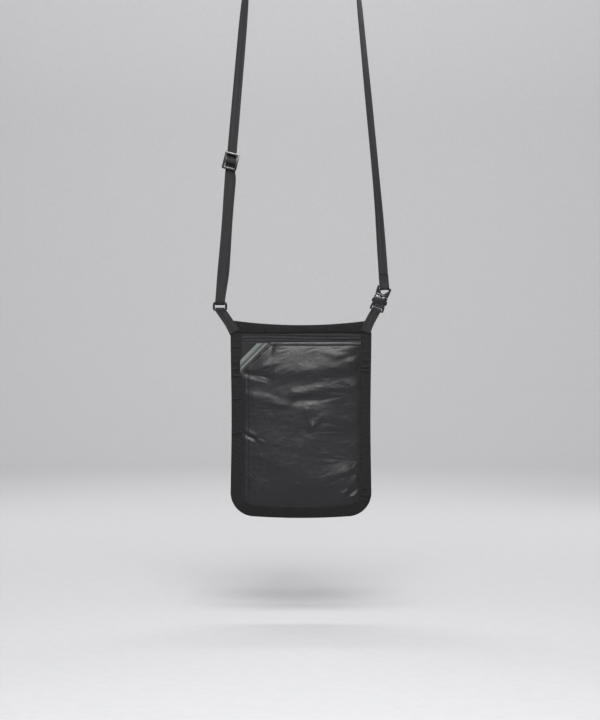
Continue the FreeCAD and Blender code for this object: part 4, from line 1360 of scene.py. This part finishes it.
def make_plug_fold():
    """The webbing's end, folded round the plug's bar, laid flat on itself and sewn across."""
    bar = BUCKLE @ Vector((0, 0, PLUG_PITCH))
    to_world = Matrix.Translation(bar) @ Matrix.Rotation(math.radians(-5), 4, "Y")
    radius, closed, length = 1.75 * MM, 0.62 * MM, 12.5 * MM
    leg = []
    for share in spaced(0, 1, 1 / 13):
        y = closed + (radius - closed) * (1 - smooth_step(1, share * 2.2))
        leg.append(Vector((0, y, share * length)))
    line = [Vector((0, -place.y, place.z)) for place in reversed(leg)]
    for step in range(1, 12):
        angle = math.pi * step / 12
        line.append(Vector((0, -radius * math.cos(angle), -radius * math.sin(angle))))
    item = sweep("plug_webbing_fold", placed_frames(line + leg, to_world), WEB_SECTION, WEBBING)
    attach(item, "plug")
    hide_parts("plug_fold")
    rows = []
    out = to_world.to_3x3() @ FRONT
    for height in (4.6, 6.0, 9.8, 11.2):
        row = [to_world @ (Vector((u, -1.22, height)) * MM) for u in spaced(-3.9, 3.9, 0.5)]
        rows.append(stitch_row("fold_row", row, out, 1.6 * MM, 1.15 * MM, 0.3 * MM))
    sewn = join("plug_fold_stitches", rows)
    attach(sewn, "plug")
    return item, sewn


# ---------------------------------------------------------------- moulded hardware


def place_in(item, to_world):
    """Move a piece's mesh from its own frame into the shared one."""
    item.data.transform(to_world)
    item.data.update()
    return item


def make_adjuster():
    """A moulded slider: a flat rounded frame with two slots either side of its middle bar."""
    low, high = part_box("adjuster")
    outline = [(6.1, 8.7), (7.0, 8.35), (7.4, 7.5), (7.4, -7.5), (7.0, -8.35), (6.1, -8.7)]
    item = slab("adjuster_body", outline + mirrored(outline), 1.2, PLASTIC)
    slots = []
    for side in (1, -1):
        half = [(x, side * z) for x, z in ((4.6, 6.4), (5.1, 5.9), (5.1, 1.7), (4.6, 1.2))]
        slots.append(slab("adjuster_slot", half + mirrored(half), 4, PLASTIC))
    cut_out(item, slots)
    soften(item, 0.55 * MM)
    place_in(item, Matrix.Translation((0, (low.y + high.y) / 2, 0)) @ ADJUSTER)
    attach(item, "adjuster")
    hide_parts("adjuster")
    return item


def mirrored(corners):
    """The same corners on the other side of Z, in reverse order."""
    return [(-x, z) for x, z in reversed(corners)]


def loop_frames(corners, steps):
    """Sweep frames round a closed smoothed loop in the XZ plane."""
    points = smooth_loop(corners, steps)
    count = len(points)
    frames = []
    for number, point in enumerate(points):
        along = (points[(number + 1) % count] - points[number - 1]).normalized()
        frames.append((point, BACK.cross(along).normalized(), BACK))
    return frames


def loft_z(name, stations, power_of, material, steps=28):
    """A closed body through superellipse sections (height, half width, half depth), in millimetres."""
    frames, scales = [], []
    for height, half_wide, half_deep in stations:
        frames.append((Vector((0, 0, height * MM)), RIGHT, BACK))
        scales.append((half_wide * MM, half_deep * MM))
    return sweep(name, frames, oval(1, 1, power_of, steps), material, scales=scales)


def cut_out(item, cutters):
    """Cut shapes out of a piece."""
    for cutter in cutters:
        hole = item.modifiers.new("cut", "BOOLEAN")
        hole.operation = "DIFFERENCE"
        hole.solver = "EXACT"
        hole.object = cutter
    apply_modifiers(item)
    for cutter in cutters:
        bpy.data.objects.remove(cutter)


def soften(item, width, segments=3, angle=35):
    """Round a moulded piece's sharp edges."""
    bevel = item.modifiers.new("soft edges", "BEVEL")
    bevel.width = width
    bevel.segments = segments
    bevel.limit_method = "ANGLE"
    bevel.angle_limit = math.radians(angle)
    apply_modifiers(item)
    for polygon in item.data.polygons:
        polygon.use_smooth = True
    return item


def make_socket():
    """The buckle's socket: a hollow rounded housing with side windows, two cheeks and the lower bar."""
    walls = [(2.7, 5.6, 1.3), (3.1, 6.5, 2.0), (4.4, 7.0, 2.45), (7.5, 7.2, 2.7), (11.5, 7.0, 2.7)]
    walls += [(13.8, 6.8, 2.55), (14.4, 6.5, 2.35)]
    shell = loft_z("socket_shell", walls, 3.6, PLASTIC)
    hollow = loft_z("socket_hollow", [(4.6, 5.6, 1.5), (9, 6.2, 1.75), (16, 6.1, 1.7)], 3.6, PLASTIC)
    sides = [(5.2, 2.3, 1.65), (5.6, 2.3, 1.85), (11.7, 2.3, 1.85), (12.1, 2.3, 1.65)]
    windows = []
    for side in (-1, 1):
        window = loft_z("socket_window", sides, 6, PLASTIC, 16)
        windows.append(place_in(window, Matrix.Translation((side * 7.6 * MM, 0, 0))))
    notch = loft_z("socket_notch", [(13.3, 2.6, 6), (16.4, 3.4, 6)], 3, PLASTIC, 16)
    cut_out(shell, [hollow, *windows, notch])
    soften(shell, 0.22 * MM)
    half = [(5.2, 0), (6.15, 0.1), (6.15, 0.9), (6.15, 3.0), (5.9, 4.6)]
    bar = open_spline([Vector((x, 0, z)) * MM for x, z in [*mirrored(half), (0, 0), *half]], 6)
    foot = sweep("socket_foot", line_frames(bar), oval(1.08 * MM, 1.12 * MM, 2.4, 14), PLASTIC)
    item = place_in(join("buckle_socket_body", [shell, foot]), BUCKLE)
    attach(item, "strap")
    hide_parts("buckle_socket")


def open_spline(corners, steps):
    """Points of the open quadratic spline through the runs' middles, from the first corner to the last."""
    points = [corners[0]]
    for number in range(1, len(corners) - 1):
        before, here, after = corners[number - 1], corners[number], corners[number + 1]
        start = before if number == 1 else (before + here) / 2
        end = after if number == len(corners) - 2 else (here + after) / 2
        for step in range(1, steps + 1):
            t = step / steps
            points.append(start * (1 - t) ** 2 + here * 2 * t * (1 - t) + end * t * t)
    return points


def make_plug():
    """The buckle's plug: a plate with a V-shaped opening under the upper bar, a shoulder and a prong."""
    outline = [(6.5, 15.2), (7.0, 18.0), (7.2, 23.6), (6.7, 24.5), (5.9, 24.75)]
    plate = slab("plug_plate", outline + mirrored(outline), 1.15, PLASTIC)
    opening = [(0.9, 17.3), (5.1, 21.7), (4.9, 22.4)]
    cut_out(plate, [slab("plug_opening", opening + mirrored(opening), 4, PLASTIC)])
    soften(plate, 0.45 * MM)
    swell = [(14.7, 6.2, 2.0), (14.9, 6.7, 2.3), (15.6, 6.9, 2.4), (16.3, 6.8, 2.3), (16.8, 6.2, 1.9)]
    shoulder = loft_z("plug_shoulder", swell + [(17.1, 5.2, 1.3)], 3.4, PLASTIC)
    taper = [(5.6, 0.6, 0.9), (6.0, 1.1, 1.2), (7, 1.4, 1.4), (15, 1.5, 1.4)]
    prong = loft_z("plug_prong", taper, 3, PLASTIC, 16)
    item = place_in(join("buckle_plug_body", [plate, shoulder, prong]), BUCKLE)
    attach(item, "plug")
    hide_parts("buckle_plug")
    return item


def make_arm(name, side):
    """A release arm: a thin spring leg and a ribbed thumb pad that bulges through the socket's window."""
    leg = [(4.3, 5.6), (4.3, 14.3), (5.9, 14.3), (5.9, 11.9), (6.6, 11.3), (7.6, 10.6)]
    ribs = [(8.0, 9.7), (7.75, 9.35), (8.1, 9.0), (7.8, 8.65), (8.0, 8.2), (7.5, 7.2)]
    outline = leg + ribs + [(6.3, 6.1), (5.2, 5.5)]
    item = slab(name, [(side * x, z) for x, z in outline], 1.3, PLASTIC)
    soften(item, 0.22 * MM)
    place_in(item, BUCKLE)
    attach(item, "arm_left" if side < 0 else "arm_right")
    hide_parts("release_arm_left" if side < 0 else "release_arm_right")
    return item


# ---------------------------------------------------------------- the studio


def make_stage():
    """A pale round studio: a floor that curves up into a wall on every side."""
    paint = Paint("studio_paper")
    grain = paint.noise(paint.coordinates(), 8 * MM, 3)
    paint.set("Base Color", paint.ramp(grain, (0.3, (0.40, 0.40, 0.41)), (0.7, (0.42, 0.42, 0.43))))
    paint.set("Roughness", paint.scaled(grain, 0.05, 0.85))
    floor_z = POUCH_BOTTOM - FLOOR_GAP
    flat, bend, height, turns = 2.2, 1.0, 3.4, 96
    profile = [(0.02, floor_z), (flat / 2, floor_z), (flat, floor_z)]
    for angle in spaced(0.08, math.pi / 2, 0.08):
        profile.append((flat + bend * math.sin(angle), floor_z + bend * (1 - math.cos(angle))))
    profile.append((flat + bend, floor_z + height))
    vertices = []
    for radius, z in profile:
        for turn in range(turns):
            angle = 2 * math.pi * turn / turns
            vertices.append(Vector((radius * math.cos(angle), radius * math.sin(angle), z)))
    faces = [tuple(reversed(range(turns)))]
    for ring in range(len(profile) - 1):
        for turn in range(turns):
            a, b = ring * turns + turn, ring * turns + (turn + 1) % turns
            faces.append((a, b, b + turns, a + turns))
    make_object("studio_sweep", vertices, faces, paint.material)


def add_light(name, place, target, size, power_watts, height=None):
    """A soft rectangular light aimed at a point."""
    data = bpy.data.lights.new(name, "AREA")
    data.shape = "RECTANGLE"
    data.size = size
    data.size_y = height or size
    data.energy = power_watts
    light = bpy.data.objects.new(name, data)
    light.location = place
    light.rotation_euler = (Vector(target) - Vector(place)).to_track_quat("-Z", "Y").to_euler()
    light.visible_camera = False
    bpy.context.scene.collection.objects.link(light)


def make_lights():
    """A soft key light above and in front, weaker lights round the object, and lights for the studio."""
    middle = (0, 0, -0.45)
    add_light("key", (0.05, -1.0, 0.28), middle, 0.6, 16, 0.4)
    add_light("left", (-1.3, -0.4, 0.0), middle, 0.6, 1.6)
    add_light("right", (1.3, -0.4, 0.1), middle, 0.6, 1.2)
    add_light("rear_left", (-0.8, 0.9, 0.3), middle, 0.7, 5)
    add_light("rear_right", (0.8, 0.9, 0.1), middle, 0.7, 4)
    add_light("backdrop", (0, 1.2, 1.5), (0, 2.9, -0.3), 1.8, 64, 0.5)
    add_light("front_wall", (0, -1.2, 1.5), (0, -2.9, -0.3), 1.8, 18, 0.5)
    add_light("overhead", (0, -0.5, 0.7), (0, 0.05, -0.6), 0.9, 10, 0.5)
    world = bpy.data.worlds.new("surround")
    world.use_nodes = True
    world.node_tree.nodes["Background"].inputs["Color"].default_value = (0.85, 0.88, 0.92, 1)
    world.node_tree.nodes["Background"].inputs["Strength"].default_value = 0.1
    bpy.context.scene.world = world


def make_camera():
    """A level camera that looks straight at the pouch's front."""
    data = bpy.data.cameras.new("camera")
    data.sensor_width = 36
    data.lens = 80
    camera = bpy.data.objects.new("camera", data)
    camera.location = (-1 * MM, -1.6, -421 * MM)
    camera.rotation_euler = (math.pi / 2, 0, 0)
    bpy.context.scene.collection.objects.link(camera)
    bpy.context.scene.camera = camera
    bpy.context.scene.view_settings.view_transform = "Standard"


# ---------------------------------------------------------------- everything together

make_camera()
make_stage()
make_lights()
make_perimeter_binding()
make_binding_stitches()
make_top_binding()
make_front_panel()
make_pocket_edges()
make_inner_panel()
make_corner_label()
make_back_panel("back_face_lower", "back_panel_lower", POUCH_BOTTOM + 6 * MM, -1)
make_back_panel("back_face_upper", "back_panel_upper", POUCH_TOP - TAPE_WIDTH + 1 * MM, 1)
make_zip()
make_zip_metal()
neck, neck_points, neck_length = make_neck_strap()
doubled = make_loop_layers()
make_tab("tab_left", "strap_tab_left", Vector((-81, 0, -371)) * MM, 0, math.radians(33), 27 * MM, 0.6)
make_tab("tab_right", "strap_tab_right", BUCKLE_ORIGIN, BUCKLE_TILT, math.radians(-6.7), 25 * MM, -0.5)
adjuster_piece = make_adjuster()
hump = make_hump()
fold, fold_stitches = make_plug_fold()
make_socket()
plug = make_plug()
arms = [make_arm("arm_left_pad", -1), make_arm("arm_right_pad", 1)]
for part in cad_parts["ring"].material_slots:
    part.material = PLASTIC
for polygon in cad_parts["ring"].data.polygons:
    polygon.use_smooth = True

tuple(neck_points[0])
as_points(neck_points)
